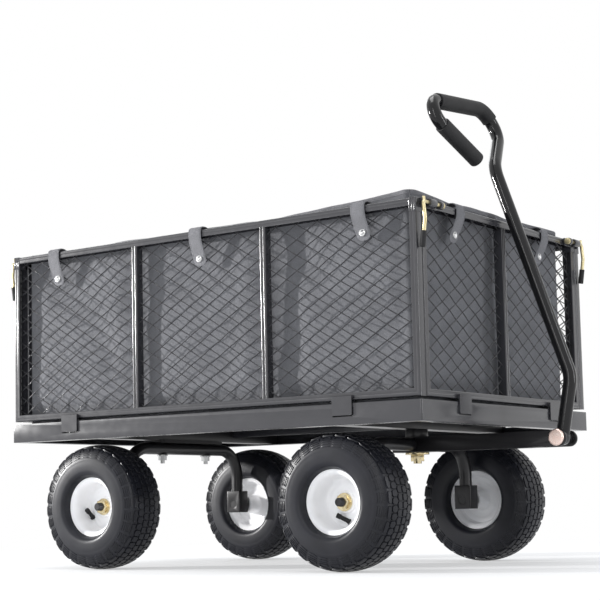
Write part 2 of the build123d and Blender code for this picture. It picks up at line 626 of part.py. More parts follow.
# ---- latches, drawn for an end panel that faces +Y, at its corner towards +X
def latch_guide():
    """The plate with the eye and the barrel that the latch rod turns in."""
    end = BARREL_START_Y + BARREL_LENGTH
    plate = block(LATCH_INNER_Y, end, 0, GUIDE_PLATE_THICK, LATCH_Z - GUIDE_PLATE_DROP / 2,
                  LATCH_Z + GUIDE_PLATE_DROP / 2)
    piece = plate
    for start, width in ((LATCH_INNER_Y, EYE_WIDTH), (BARREL_START_Y, BARREL_LENGTH)):
        ring = Pos(start + width / 2, LATCH_OUT, LATCH_Z) * Rot(0, 90, 0) * Cylinder(GUIDE_R, width)
        saddle = block(start, start + width, GUIDE_PLATE_THICK, LATCH_OUT, LATCH_Z - GUIDE_R / 2,
                       LATCH_Z + GUIDE_R / 2)
        piece += ring + saddle
    cap_start = SIDE_INNER - PANEL_SIDE_GAP - PANEL_BAR
    piece -= block(cap_start, end + CUT, -CUT, CAP_PROUD, LATCH_Z - PANEL_BAR - CUT, LATCH_Z + PANEL_BAR + CUT)
    bore = Pos(LATCH_INNER_Y, LATCH_OUT, LATCH_Z) * Rot(0, 90, 0)
    return piece - bore * Cylinder(LATCH_ROD_R + RUNNING_GAP, 4 * BARREL_LENGTH + 4 * EYE_WIDTH)


def lever_points():
    """The lever's centre line below the rod: start, bend and lower end."""
    start = (LATCH_LEVER_Y, LATCH_OUT, LATCH_Z)
    bend = (LATCH_LEVER_Y, LATCH_OUT + LEVER_BEND_OUT, LATCH_Z - LEVER_BEND_DROP)
    end = (LATCH_LEVER_Y, LATCH_OUT - LEVER_END_IN, LATCH_Z - LEVER_DROP)
    return start, bend, end


def latch_rod():
    """The turning rod with its head, its bent lever and the finger that locks the corner."""
    start, bend, end = lever_points()
    inner = LATCH_INNER_Y - SIDE_GAP
    path = FilletPolyline((inner, LATCH_OUT, LATCH_Z), start, bend, end, radius=[LEVER_CORNER_R, LEVER_BEND_R])
    rod = tube_along(path, LATCH_ROD_R, 0)
    head = Pos(inner - LATCH_HEAD_THICK / 2, LATCH_OUT, LATCH_Z) * Rot(0, 90, 0)
    rod += head * Cylinder(LATCH_HEAD_R, LATCH_HEAD_THICK)
    finger_y = LATCH_LEVER_Y - LEVER_CORNER_R + LATCH_ROD_R
    finger = Pos(finger_y, LATCH_OUT, LATCH_Z + FINGER_LENGTH / 2) * Cylinder(FINGER_R, FINGER_LENGTH)
    return rod + finger


def latch_sleeve():
    """The rubber sleeve on the lever's lower end."""
    _, bend, end = lever_points()
    bend, end = Vector(*bend), Vector(*end)
    along = (end - bend).normalized()
    top = end - along * SLEEVE_LENGTH
    sleeve = Plane(origin=top, z_dir=along) * Pos(0, 0, (SLEEVE_LENGTH + SLEEVE_END) / 2)
    bore = Plane(origin=top, z_dir=along) * Pos(0, 0, SLEEVE_LENGTH / 2)
    return sleeve * Cylinder(SLEEVE_R, SLEEVE_LENGTH + SLEEVE_END) - bore * Cylinder(
        LATCH_ROD_R + SEAT_GAP, SLEEVE_LENGTH)


def keepers():
    """The ears on a side panel's two ends that the latch fingers close behind."""
    reach = LATCH_OUT - LATCH_ROD_R - KEEPER_TO_ROD
    ear = block(END_FACE + CAP_PROUD, END_FACE + reach, -KEEPER_FROM_SIDE, KEEPER_THICK - KEEPER_FROM_SIDE,
                LATCH_Z - KEEPER_HEIGHT / 2, LATCH_Z + KEEPER_HEIGHT / 2)
    return group(ear, mirror(ear, about=Plane.YZ))


def on_side(piece, side):
    """Put a panel's piece on the left (side 1) or the right (side -1) of the cart."""
    seated = Pos(0, SIDE_FACE, 0) * piece
    return seated if side > 0 else Rot(0, 0, 180) * seated


def on_end(piece, end):
    """Put a panel's piece on the front (end 1) or the rear (end -1) of the cart."""
    seated = Pos(0, END_FACE, 0) * piece
    return Rot(0, 0, -90 * end) * seated


# ---- liner
def liner_wall(end, side):
    """One of the liner's four walls: end or side says which, and the other is 0."""
    outer_x, outer_y = END_INNER - FABRIC_GAP, SIDE_INNER - FABRIC_GAP
    centre_x, centre_y = outer_x - LINER_CORNER_R, outer_y - LINER_CORNER_R
    bottom = BED_TOP + FABRIC_GAP
    height = PANEL_TOP + LINER_ABOVE_RAIL - bottom
    ring = RectangleRounded(2 * outer_x, 2 * outer_y, LINER_CORNER_R)
    ring -= RectangleRounded(2 * (outer_x - FABRIC), 2 * (outer_y - FABRIC), LINER_CORNER_R - FABRIC)
    far = 2 * LINER_CORNER_R
    if side:
        outline = Polyline(
            (-centre_x, centre_y + FABRIC_GAP), (centre_x, centre_y + FABRIC_GAP),
            (centre_x + far, centre_y + far + FABRIC_GAP), (-centre_x - far, centre_y + far + FABRIC_GAP),
            close=True)
        wedge = make_face(outline)
        wedge = wedge if side > 0 else Rot(0, 0, 180) * wedge
    else:
        outline = Polyline(
            (centre_x + FABRIC_GAP, -centre_y), (centre_x + FABRIC_GAP, centre_y),
            (centre_x + far + FABRIC_GAP, centre_y + far), (centre_x + far + FABRIC_GAP, -centre_y - far),
            close=True)
        wedge = make_face(outline)
        wedge = wedge if end > 0 else Rot(0, 0, 180) * wedge
    return Pos(0, 0, bottom) * extrude(ring & wedge, height)


def liner_floor():
    """The liner's floor, inside the bed's flanges."""
    half_x = BED_LENGTH / 2 - BED_FLANGE - FABRIC_GAP
    half_y = BED_WIDTH / 2 - BED_FLANGE - FABRIC_GAP
    sheet = RectangleRounded(2 * half_x, 2 * half_y, LINER_CORNER_R)
    return Pos(0, 0, DECK_TOP + LINER_FLOOR_ABOVE_DECK) * extrude(sheet, FABRIC)


# ---- steering
def drawbar():
    """The steering tube that holds the front arch, with the yoke for the handle."""
    half = DRAWBAR_WIDTH / 2
    wall = DRAWBAR_WALL
    tube = block(DRAWBAR_START, DRAWBAR_END, -half, half, DRAWBAR_BOTTOM, DRAWBAR_TOP)
    tube -= block(DRAWBAR_START - CUT, DRAWBAR_END + CUT, wall - half, half - wall,
                  DRAWBAR_BOTTOM + wall, DRAWBAR_TOP - wall)
    for side in (-1, 1):
        inner, outer = side * half, side * (half + YOKE_THICK)
        cheek = block(DRAWBAR_END - YOKE_LAP, PIN_X, min(inner, outer), max(inner, outer),
                      DRAWBAR_BOTTOM, DRAWBAR_TOP)
        nose = rod_y(PIN_X, FRONT_BAR_Z, min(inner, outer), max(inner, outer), DRAWBAR_HEIGHT / 2)
        tube += cheek + (Pos(YOKE_END - DRAWBAR_HEIGHT / 2, 0, 0) * nose)
        tube += block(PIN_X, PIN_X + YOKE_END - DRAWBAR_HEIGHT / 2, min(inner, outer), max(inner, outer),
                      DRAWBAR_BOTTOM, DRAWBAR_TOP)
    reach = half + YOKE_THICK + CUT
    tube -= rod_y(PIN_X, PIN_Z, -reach, reach, PIN_R + SEAT_GAP)
    tube -= rod_y(FRONT_AXLE_X, FRONT_BAR_Z, -reach, reach, ARCH_TUBE_R + SEAT_GAP)
    tube -= rod_y(FRONT_AXLE_X - CLAMP_BOLT_BACK - CLAMP_BOLT_R, FRONT_BAR_Z, -reach, reach,
                  CLAMP_BOLT_R + SEAT_GAP)
    return tube - rod_z(FRONT_AXLE_X, 0, DRAWBAR_BOTTOM - CUT, DRAWBAR_TOP + CUT, KINGPIN_R + RUNNING_GAP)


def clamp_bolt():
    """The cross bolt behind the kingpin, with its nut."""
    x = FRONT_AXLE_X - CLAMP_BOLT_BACK - CLAMP_BOLT_R
    half = DRAWBAR_WIDTH / 2
    bolt = rod_y(x, FRONT_BAR_Z, -half, half + CLAMP_BOLT_HEAD + CLAMP_BOLT_TIP, CLAMP_BOLT_R)
    bolt += hex_y(x, FRONT_BAR_Z, -half - CLAMP_BOLT_HEAD, -half, CLAMP_BOLT_ACROSS)
    nut = hex_y(x, FRONT_BAR_Z, half, half + CLAMP_BOLT_HEAD, CLAMP_BOLT_ACROSS)
    nut -= rod_y(x, FRONT_BAR_Z, half - CUT, half + CLAMP_BOLT_HEAD + CUT, CLAMP_BOLT_R + SEAT_GAP)
    return group(bolt, nut)


def kingpin():
    """The pin that the drawbar turns on; its head is inside the front beam."""
    low = DRAWBAR_BOTTOM - SIDE_GAP - KINGPIN_WASHER_THICK - KINGPIN_NUT_HEIGHT - KINGPIN_END
    head_z = BEAM_BOTTOM + BEAM_WALL
    pin = rod_z(FRONT_AXLE_X, 0, low, head_z, KINGPIN_R)
    return pin + hex_z(FRONT_AXLE_X, 0, head_z, head_z + KINGPIN_HEAD, KINGPIN_HEAD_ACROSS)


def kingpin_bush():
    """The spacer between the beam and the drawbar."""
    bush = rod_z(FRONT_AXLE_X, 0, DRAWBAR_TOP + SIDE_GAP, BEAM_BOTTOM, BUSH_R)
    return bush - rod_z(FRONT_AXLE_X, 0, DRAWBAR_TOP - CUT, BEAM_BOTTOM + CUT, KINGPIN_R + SEAT_GAP)


def kingpin_nut():
    """The washer and nut under the drawbar."""
    top = DRAWBAR_BOTTOM - SIDE_GAP
    seat = top - KINGPIN_WASHER_THICK
    bore = rod_z(FRONT_AXLE_X, 0, seat - KINGPIN_NUT_HEIGHT - CUT, top + CUT, KINGPIN_R + SEAT_GAP)
    washer = rod_z(FRONT_AXLE_X, 0, seat, top, KINGPIN_WASHER_R)
    nut = hex_z(FRONT_AXLE_X, 0, seat - KINGPIN_NUT_HEIGHT, seat, KINGPIN_NUT_ACROSS)
    return group(washer - bore, nut - bore)


def handle_pin():
    """The pin through the yoke, with a round head on the right and a nut on the left."""
    face = DRAWBAR_WIDTH / 2 + YOKE_THICK
    pin = rod_y(PIN_X, PIN_Z, -face, face + PIN_NUT_HEIGHT + PIN_END, PIN_R)
    head = rod_y(PIN_X, PIN_Z, -face - PIN_HEAD_THICK, -face, PIN_HEAD_R)
    head = fillet(head.edges().sort_by(Axis.Y)[0], PIN_HEAD_EDGE_R)
    nut = hex_y(PIN_X, PIN_Z, face, face + PIN_NUT_HEIGHT, PIN_NUT_ACROSS)
    nut -= rod_y(PIN_X, PIN_Z, face - CUT, face + PIN_NUT_HEIGHT + CUT, PIN_R + SEAT_GAP)
    return group(pin + head, nut)


def handle_path():
    """The handle's centre line, from its pin to the free end of the grip loop."""
    kick = Vector(PIN_X + HANDLE_KICK_X, 0, PIN_Z + HANDLE_KICK_Z)
    lean = radians(HANDLE_LEAN)

    def on_shaft(across, along):
        distance = HANDLE_NECK + along
        return kick + Vector(-distance * sin(lean), across, distance * cos(lean))

    corners = [on_shaft(0, 0)] + [on_shaft(*corner) for corner in (LOOP_RIGHT, LOOP_LEFT, LOOP_END)]
    return FilletPolyline(Vector(PIN_X, 0, PIN_Z), kick, *corners,
                          radius=[HANDLE_KICK_R, HANDLE_NECK_R, LOOP_RIGHT_R, LOOP_LEFT_R])


def handle_tube():
    """The bent tube, with the cross barrel that turns on the pin."""
    half = DRAWBAR_WIDTH / 2 - SIDE_GAP
    tube = tube_along(handle_path(), HANDLE_R, HANDLE_R - HANDLE_WALL)
    barrel = rod_y(PIN_X, PIN_Z, -half, half, HANDLE_BARREL_R)
    return (tube + barrel) - rod_y(PIN_X, PIN_Z, -half - CUT, half + CUT, PIN_R + RUNNING_GAP)


def handle_grips():
    """Rubber sleeves on the loop's top bar and on its free arm."""
    edges = handle_path().edges()
    lower_arm, top_bar, right_bend = edges[-1], edges[-3], edges[-4]
    bore = HANDLE_R + SEAT_GAP
    top_path = Wire([right_bend.trim(GRIP_START, 1.0), top_bar])
    top = tube_along(top_path, GRIP_R, bore)
    arm = tube_along(lower_arm, GRIP_R, bore)
    cap = Plane(origin=lower_arm @ 1, z_dir=lower_arm % 1) * Pos(0, 0, GRIP_END / 2) * Cylinder(GRIP_R, GRIP_END)
    return group(top, arm + cap)


# ---- all nodes
def build():
    """Every node of the cart by name, drawn about the middle of the bed."""
    nodes = {}
    whole = bed_frame()
    side_wedge = mitre_wedge(BED_LENGTH / 2, BED_WIDTH / 2)
    end_wedge = Rot(0, 0, 90) * mitre_wedge(BED_WIDTH / 2, BED_LENGTH / 2)
    nodes["bed_side_rails"] = group(whole & side_wedge, whole & (Rot(0, 0, 180) * side_wedge))
    nodes["bed_end_rails"] = group(whole & end_wedge, whole & (Rot(0, 0, 180) * end_wedge))
    nodes["cross_beams"] = cross_beams()
    nodes["stringers"] = stringers()
    nodes["deck_mesh"] = deck_mesh()

    nodes["rear_axle_arch"] = rear_arch()
    nodes["rear_axle_bolts"] = both_sides(mount_bolt())
    nodes["front_axle_arch"] = front_arch()
    for name, x in (("rear", REAR_AXLE_X), ("front", FRONT_AXLE_X)):
        nodes[name + "_axle_feet"] = both_sides(foot(x))
        nodes[name + "_stub_axles"] = both_sides(stub_axle(x))
        nodes[name + "_axle_nuts"] = both_sides(axle_nut(x))
        for side, hand in ((-1, "right"), (1, "left")):
            nodes[name + "_" + hand + "_tyre"] = at_wheel(tyre(), x, side)
            nodes[name + "_" + hand + "_rim"] = at_wheel(rim(), x, side)

    nodes["kingpin"] = kingpin()
    nodes["kingpin_bush"] = kingpin_bush()
    nodes["kingpin_nut"] = kingpin_nut()
    nodes["drawbar"] = drawbar()
    nodes["drawbar_bolt"] = clamp_bolt()
    nodes["handle_pin"] = handle_pin()
    nodes["handle_tube"] = handle_tube()
    nodes["handle_grips"] = handle_grips()

    side_posts = (-SIDE_POST_X, SIDE_POST_X)
    side_length = 2 * END_FACE
    side_frame = panel_frame(side_length, side_posts, (-SIDE_TAB_X, SIDE_TAB_X), CAP_PROUD)
    side_mesh = panel_mesh(side_length, side_posts)
    for side, hand in ((-1, "right"), (1, "left")):
        name = hand + "_panel_"
        nodes[name + "frame"] = on_side(side_frame, side)
        nodes[name + "mesh"] = on_side(side_mesh, side)
        nodes[name + "keepers"] = on_side(keepers(), side)
        nodes[name + "straps"] = on_side(straps([side * x for x in SIDE_STRAPS_X]), side)
        nodes["liner_wall_" + hand] = liner_wall(0, side)

    end_length = 2 * (SIDE_INNER - PANEL_SIDE_GAP)
    end_frame = panel_frame(end_length, (0,), (-END_TAB_Y, END_TAB_Y), 0)
    end_mesh = panel_mesh(end_length, (0,))
    guides = group(latch_guide(), mirror(latch_guide(), about=Plane.YZ))
    for end, place in ((1, "front"), (-1, "rear")):
        name = place + "_panel_"
        nodes[name + "frame"] = on_end(end_frame, end)
        nodes[name + "mesh"] = on_end(end_mesh, end)
        nodes[name + "latch_guides"] = on_end(guides, end)
        nodes[name + "straps"] = on_end(straps(END_STRAPS_Y), end)
        nodes["liner_wall_" + place] = liner_wall(end, 0)
        for side, hand in ((-1, "right"), (1, "left")):
            # the panel's own +X end is at the cart's right on the front and at its left on the rear
            flip = side * end > 0
            for part_name, piece in (("latch", latch_rod()), ("latch_sleeve", latch_sleeve())):
                piece = mirror(piece, about=Plane.YZ) if flip else piece
                nodes[place + "_" + hand + "_" + part_name] = on_end(piece, end)
    nodes["liner_floor"] = liner_floor()
    return nodes


def main():
    """Move the origin to the middle of the overall length and write each node."""
    os.makedirs("parts", exist_ok=True)
    nodes = build()
    boxes = [shape.bounding_box() for shape in nodes.values()]
    middle = (min(box.min.X for box in boxes) + max(box.max.X for box in boxes)) / 2
    print("bed middle in the row frame: x =", round(-middle, 4))
    for name, shape in nodes.items():
        export_step(Pos(-middle, 0, 0) * shape, "parts/" + name + ".step")


main()
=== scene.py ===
import json
import math

import bmesh
import bpy
from mathutils import Matrix, Vector, noise

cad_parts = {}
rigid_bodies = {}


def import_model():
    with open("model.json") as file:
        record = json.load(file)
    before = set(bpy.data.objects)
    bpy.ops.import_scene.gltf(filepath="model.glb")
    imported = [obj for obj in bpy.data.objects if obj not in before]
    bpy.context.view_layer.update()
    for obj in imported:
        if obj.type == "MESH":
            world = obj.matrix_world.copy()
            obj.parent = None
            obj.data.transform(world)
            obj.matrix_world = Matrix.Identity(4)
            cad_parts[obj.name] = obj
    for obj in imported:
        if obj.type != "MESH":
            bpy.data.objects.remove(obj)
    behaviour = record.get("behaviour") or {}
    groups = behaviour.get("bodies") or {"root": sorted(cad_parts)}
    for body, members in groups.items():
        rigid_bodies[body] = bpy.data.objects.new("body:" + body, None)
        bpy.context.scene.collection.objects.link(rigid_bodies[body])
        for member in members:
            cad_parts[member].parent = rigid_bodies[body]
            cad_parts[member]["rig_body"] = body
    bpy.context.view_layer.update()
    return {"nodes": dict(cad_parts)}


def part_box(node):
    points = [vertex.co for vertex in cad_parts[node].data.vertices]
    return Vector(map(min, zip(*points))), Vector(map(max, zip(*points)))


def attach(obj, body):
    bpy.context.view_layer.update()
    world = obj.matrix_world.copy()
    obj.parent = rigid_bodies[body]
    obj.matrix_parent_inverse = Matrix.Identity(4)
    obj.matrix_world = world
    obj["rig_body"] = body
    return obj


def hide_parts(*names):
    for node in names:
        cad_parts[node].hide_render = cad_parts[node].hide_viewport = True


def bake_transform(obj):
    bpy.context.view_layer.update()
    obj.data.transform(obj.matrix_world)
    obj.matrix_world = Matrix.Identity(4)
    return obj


# Looks of the four-wheel garden cart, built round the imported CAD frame.
# Metres, +X to the front, +Z up. Panels, liner walls and wheels are drawn about the
# origin in a place of their own, and turned and moved to where the frame has them.

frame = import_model()
NODES = frame["nodes"]

MM = 0.001
PI = math.pi


def middle(node):
    """The centre of a node's box."""
    low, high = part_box(node)
    return (low + high) / 2


def shares(count):
    """Even steps from 0 to 1."""
    return [step / count for step in range(count + 1)]


def turns(angles):
    """The cosine and sine of each angle, given in degrees."""
    return [(math.cos(a), math.sin(a)) for a in map(math.radians, angles)]


# panel sections, as in the CAD
BAR = 14 * MM
PANEL_DEEP = 20 * MM
SHEET = 1.8 * MM
CAP_HIGH = 25 * MM
CAP_PROUD = 1 * MM
WIRE_IN_CHANNEL = 8 * MM
DIAMOND_LONG = 48 * MM
DIAMOND_HIGH = 29 * MM
WIRE_R = 1.05 * MM
WEAVE = 0.8 * MM
SHORTEST_WIRE = 3 * MM


# ---------------------------------------------------------------- materials
def add_node(tree, kind, setup=None, **inputs):
    """Add a shader node: setup holds its settings, and each input is a value or a socket to link from."""
    node = tree.nodes.new("ShaderNode" + kind)
    for name, value in (setup or {}).items():
        setattr(node, name, value)
    for name, value in inputs.items():
        socket = node.inputs[name.replace("_", " ")]
        if isinstance(value, bpy.types.NodeSocket):
            tree.links.new(value, socket)
        else:
            socket.default_value = value
    return node


class Finish:
    """A procedural material: a Principled shader with a few helpers round it."""

    def __init__(self, name, colour, roughness, metallic=0.0, **sockets):
        self.material = bpy.data.materials.new(name)
        self.material.use_nodes = True
        self.tree = self.material.node_tree
        self.shader = self.tree.nodes["Principled BSDF"]
        self.colour = colour
        sockets.update(Base_Color=(*colour, 1.0), Roughness=roughness, Metallic=metallic)
        for socket, value in sockets.items():
            self.shader.inputs[socket.replace("_", " ")].default_value = value
        self.place = add_node(self.tree, "TexCoord").outputs["Object"]
        self.normal = None

    def noise(self, scale, detail=4.0):
        """A noise texture in the object's own space."""
        return add_node(self.tree, "TexNoise", Vector=self.place, Scale=scale, Detail=detail,
                        Roughness=0.55).outputs["Fac"]

    def wave(self, direction, scale):
        """Fine parallel bands along one axis."""
        return add_node(self.tree, "TexWave", {"wave_type": "BANDS", "bands_direction": direction},
                        Vector=self.place, Scale=scale, Distortion=0.6, Detail=1.0).outputs["Fac"]

    def ramp(self, value, low, high, start=0.35, end=0.65):
        """A ramp between two colours."""
        node = add_node(self.tree, "ValToRGB", Fac=value)
        for element, position, colour in zip(node.color_ramp.elements, (start, end), (low, high)):
            element.position = position
            element.color = (*colour, 1.0)
        return node.outputs["Color"]

    def paint(self, colour):
        """Use a colour socket as the base colour."""
        self.tree.links.new(colour, self.shader.inputs["Base Color"])

    def mottle(self, scale, spread):
        """Vary the base colour by a share of itself."""
        low, high = (tuple(channel * share for channel in self.colour) for share in (1 - spread, 1 + spread))
        self.paint(self.ramp(self.noise(scale), low, high))

    def bump(self, height, depth, strength):
        """Add relief, depth metres deep, to what is there already."""
        node = add_node(self.tree, "Bump", Height=height, Distance=depth, Strength=strength)
        if self.normal:
            self.tree.links.new(self.normal, node.inputs["Normal"])
        self.normal = node.outputs["Normal"]
        self.tree.links.new(self.normal, self.shader.inputs["Normal"])

    def vary_roughness(self, value, low, high):
        """Map a value onto the roughness."""
        node = add_node(self.tree, "MapRange", Value=value, To_Min=low, To_Max=high)
        self.tree.links.new(node.outputs["Result"], self.shader.inputs["Roughness"])


def powder_coat(name, colour, roughness, gloss=0.4):
    """Powder-coated steel: fine orange peel and a faint unevenness."""
    finish = Finish(name, colour, roughness, Specular_IOR_Level=gloss,
                    Coat_Weight=0.1, Coat_Roughness=0.12)
    finish.mottle(9.0, 0.06)
    finish.vary_roughness(finish.noise(60.0), roughness - 0.06, roughness + 0.08)
    finish.bump(finish.noise(900.0, detail=2.0), 0.00008, 0.5)
    return finish.material


def zinc_plate(name, colour, tint, roughness):
    """Passivated zinc: a metal whose colour drifts between two tints."""
    finish = Finish(name, colour, roughness, metallic=1.0)
    finish.paint(finish.ramp(finish.noise(140.0, detail=3.0), colour, tint, 0.3, 0.7))
    finish.vary_roughness(finish.noise(500.0), roughness - 0.08, roughness + 0.12)
    return finish.material


def rubber(name, colour, roughness, grain):
    """Moulded rubber with a fine grain and a dusty unevenness."""
    finish = Finish(name, colour, roughness, Specular_IOR_Level=0.30)
    finish.mottle(24.0, 0.18)
    finish.vary_roughness(finish.noise(40.0), roughness - 0.06, roughness + 0.1)
    finish.bump(finish.noise(grain, detail=3.0), 0.00012, 0.6)
    return finish.material


def cloth(name, colour, across, up, pitch):
    """Plain woven polyester: two crossing sets of threads, slubs and a soft sheen."""
    finish = Finish(name, colour, 0.85, Specular_IOR_Level=0.25, Sheen_Weight=0.10, Sheen_Roughness=0.45)
    cloudy = finish.ramp(finish.noise(16.0, detail=6.0),
                         tuple(c * 0.9 for c in colour), tuple(c * 1.1 for c in colour))
    slub = finish.ramp(finish.noise(700.0, detail=3.0), (0.72, 0.72, 0.72), (1.0, 1.0, 1.0), 0.3, 0.6)
    woven = add_node(finish.tree, "Mix", {"data_type": "RGBA", "blend_type": "MULTIPLY"},
                     Factor=1.0, A=cloudy, B=slub)
    finish.paint(woven.outputs["Result"])
    for direction in (across, up):
        finish.bump(finish.wave(direction, 1 / pitch), 0.00018, 0.5)
    return finish.material


FRAME_PAINT = powder_coat("frame_paint", (0.030, 0.030, 0.035), 0.22, 0.75)
WIRE_PAINT = powder_coat("wire_paint", (0.030, 0.030, 0.034), 0.26)
BLACK_PAINT = powder_coat("black_paint", (0.010, 0.0095, 0.011), 0.34)
HANDLE_PAINT = powder_coat("handle_gloss", (0.008, 0.008, 0.009), 0.13, 0.3)
RIM_PAINT = powder_coat("rim_paint", (0.94, 0.94, 0.95), 0.30)
YELLOW_ZINC = zinc_plate("yellow_zinc", (0.56, 0.45, 0.25), (0.70, 0.62, 0.42), 0.22)
PALE_ZINC = zinc_plate("pale_zinc", (0.58, 0.50, 0.28), (0.68, 0.61, 0.40), 0.34)
GREY_ZINC = zinc_plate("grey_zinc", (0.55, 0.56, 0.57), (0.66, 0.66, 0.65), 0.32)
COPPER_ZINC = zinc_plate("copper_zinc", (0.88, 0.66, 0.58), (0.92, 0.76, 0.70), 0.26)
TYRE_RUBBER = rubber("tyre_rubber", (0.0105, 0.0112, 0.0160), 0.36, 900.0)
GRIP_RUBBER = rubber("grip_rubber", (0.016, 0.016, 0.017), 0.62, 700.0)
LINER_GREY = (0.185, 0.188, 0.202)
LINER_CLOTH_X = cloth("liner_cloth_long", LINER_GREY, "X", "Z", 1.3 * MM)
LINER_CLOTH_Y = cloth("liner_cloth_end", LINER_GREY, "Y", "Z", 1.3 * MM)
LINER_CLOTH_FLAT = cloth("liner_cloth_floor", LINER_GREY, "X", "Y", 1.3 * MM)
STRAP_CLOTH = cloth("strap_cloth", (0.230, 0.230, 0.245), "Z", "Z", 0.9 * MM)


# ---------------------------------------------------------------- mesh helpers
class Shape:
    """Vertices and faces that pieces are built up from."""

    def __init__(self):
        self.points = []
        self.faces = []

    def loft(self, rings, through=False, around=True, caps=True):
        """Skin successive rings of equal length; through joins the last ring to the first."""
        base = len(self.points)
        size = len(rings[0])
        for ring in rings:
            self.points.extend(Vector(point) for point in ring)
        count = len(rings)
        for i in range(count if through else count - 1):
            here, there = base + i * size, base + (i + 1) % count * size
            for j in range(size if around else size - 1):
                k = (j + 1) % size
                self.faces.append((here + j, here + k, there + k, there + j))
        if caps and around and not through:
            self.faces.append(tuple(reversed(range(base, base + size))))
            self.faces.append(tuple(range(base + (count - 1) * size, base + count * size)))
        return self

    def tube(self, path, radius, sides):
        """A round tube along a path; radius is a number or one per point."""
        path = [Vector(point) for point in path]
        radii = radius if isinstance(radius, list) else [radius] * len(path)
        rings = []
        normal = (path[1] - path[0]).normalized().orthogonal().normalized()
        for index, point in enumerate(path):
            along = (path[min(index + 1, len(path) - 1)] - path[max(index - 1, 0)]).normalized()
            normal = (normal - along * normal.dot(along)).normalized()
            side = along.cross(normal)
            rings.append([point + radii[index] * (normal * c + side * s)
                          for c, s in turns(360 * k / sides for k in range(sides))])
        return self.loft(rings)

    def lathe(self, profile, segments, closed=True):
        """Turn a profile of (radius, y) points about the Y axis."""
        rings = [[(r * s, y, r * c) for r, y in profile]
                 for c, s in turns(360 * k / segments for k in range(segments))]
        return self.loft(rings, through=True, around=closed, caps=False)

    def plate(self, outline, thick, rise):
        """An outline in the x-z plane with rounded edges, thick along y from 0."""
        rings = []
        centre = sum((Vector(point) for point in outline), Vector((0, 0))) / len(outline)
        for inset, y in ((rise, 0), (0, rise), (0, thick - rise), (rise, thick)):
            ring = []
            for point in outline:
                arm = Vector(point) - centre
                spot = centre + arm * (arm.length - inset) / arm.length
                ring.append((spot.x, y, spot.y))
            rings.append(ring)
        return self.loft(rings)

    def put(self, matrix):
        """Move every point by a matrix."""
        self.points = [matrix @ point for point in self.points]
        return self

    def add(self, other):
        """Take in another shape."""
        base = len(self.points)
        self.points.extend(other.points)
        self.faces.extend(tuple(base + i for i in face) for face in other.faces)
        return self

    def make(self, name, material, body, slot, replaces=(), sharp=35.0, ride=True):
        """Turn the shape into a piece that rides on a body."""
        raw = bpy.data.meshes.new(name)
        raw.from_pydata(self.points, [], self.faces)
        form = bmesh.new()
        form.from_mesh(raw)
        bpy.data.meshes.remove(raw)
        bmesh.ops.remove_doubles(form, verts=form.verts, dist=1e-6)
        bmesh.ops.recalc_face_normals(form, faces=form.faces)
        return finish_piece(form, name, material, body, replaces, sharp, ride)


def add_object(name, data):
    """Put an object in the scene."""
    thing = bpy.data.objects.new(name, data)
    bpy.context.scene.collection.objects.link(thing)
    return thing


def finish_piece(form, name, material, body, replaces, sharp, ride):
    """Make a piece of a form: smooth shading, material, body and replaced nodes."""
    mesh = bpy.data.meshes.new(name)
    form.to_mesh(mesh)
    form.free()
    mesh.materials.append(material)
    mesh.shade_smooth()
    mesh.set_sharp_from_angle(angle=math.radians(sharp))
    piece = add_object(name, mesh)
    if ride:
        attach(piece, body)
    if replaces:
        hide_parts(*replaces)
    return piece


def dress(node, material, bevel):
    """Stand a softened copy of a CAD node in for it: flats merged, edges rounded."""
    source = NODES[node]
    soft = bmesh.new()
    soft.from_mesh(source.data)
    bmesh.ops.remove_doubles(soft, verts=soft.verts, dist=1e-5)
    bmesh.ops.dissolve_limit(soft, angle_limit=math.radians(0.5), verts=soft.verts, edges=soft.edges)
    edges = [edge for edge in soft.edges
             if len(edge.link_faces) == 2 and edge.calc_face_angle(0.0) > math.radians(30)]
    if bevel:
        bmesh.ops.bevel(soft, geom=edges, offset=bevel, segments=2, profile=0.6, affect="EDGES",
                        clamp_overlap=True, harden_normals=False)
    return finish_piece(soft, node + "_look", material, source["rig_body"], [node], 40.0, True)


def smoothstep(value, start, end):
    """0 before start, 1 after end, smooth between."""
    t = min(1.0, max(0.0, (value - start) / (end - start)))
    return t * t * (3 - 2 * t)


def arc(centre, radius, start, end, steps):
    """Points on an arc in a plane, angles in degrees."""
    return [(centre[0] + radius * c, centre[1] + radius * s)
            for c, s in turns(start + (end - start) * share for share in shares(steps))]


def rounded(u0, u1, v0, v1, radius, steps):
    """A rectangle with rounded corners, anticlockwise."""
    near, far, low, high = u0 + radius, u1 - radius, v0 + radius, v1 - radius
    corners = ((far, low), (far, high), (near, high), (near, low))
    return [point for number, centre in enumerate(corners)
            for point in arc(centre, radius, 90 * number - 90, 90 * number, steps)]


# ---------------------------------------------------------------- panels
class Panel:
    """One mesh panel, drawn facing +Y with its wires at y = 0 and turned into place."""

    def __init__(self, name, body, turn, posts, tabs, straps, cap_end):
        self.name = name
        self.body = body
        low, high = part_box(name + "_panel_mesh")
        edge = BAR - WIRE_IN_CHANNEL
        along = 0 if turn in (0, 180) else 1
        self.half = (high[along] - low[along]) / 2 + edge
        self.low = low.z - edge
        self.high = high.z + edge
        self.posts = posts
        self.tabs = tabs
        self.straps = straps
        self.cap_end = cap_end
        centre = (low + high) / 2
        self.matrix = (Matrix.Translation((centre.x, centre.y, 0))
                       @ Matrix.Rotation(math.radians(turn), 4, "Z"))
        self.cloth = LINER_CLOTH_X if along == 0 else LINER_CLOTH_Y

    def windows(self):
        """The start and end of each mesh window."""
        starts = [BAR - self.half] + [post + BAR / 2 for post in self.posts]
        ends = [post - BAR / 2 for post in self.posts] + [self.half - BAR]
        return list(zip(starts, ends))


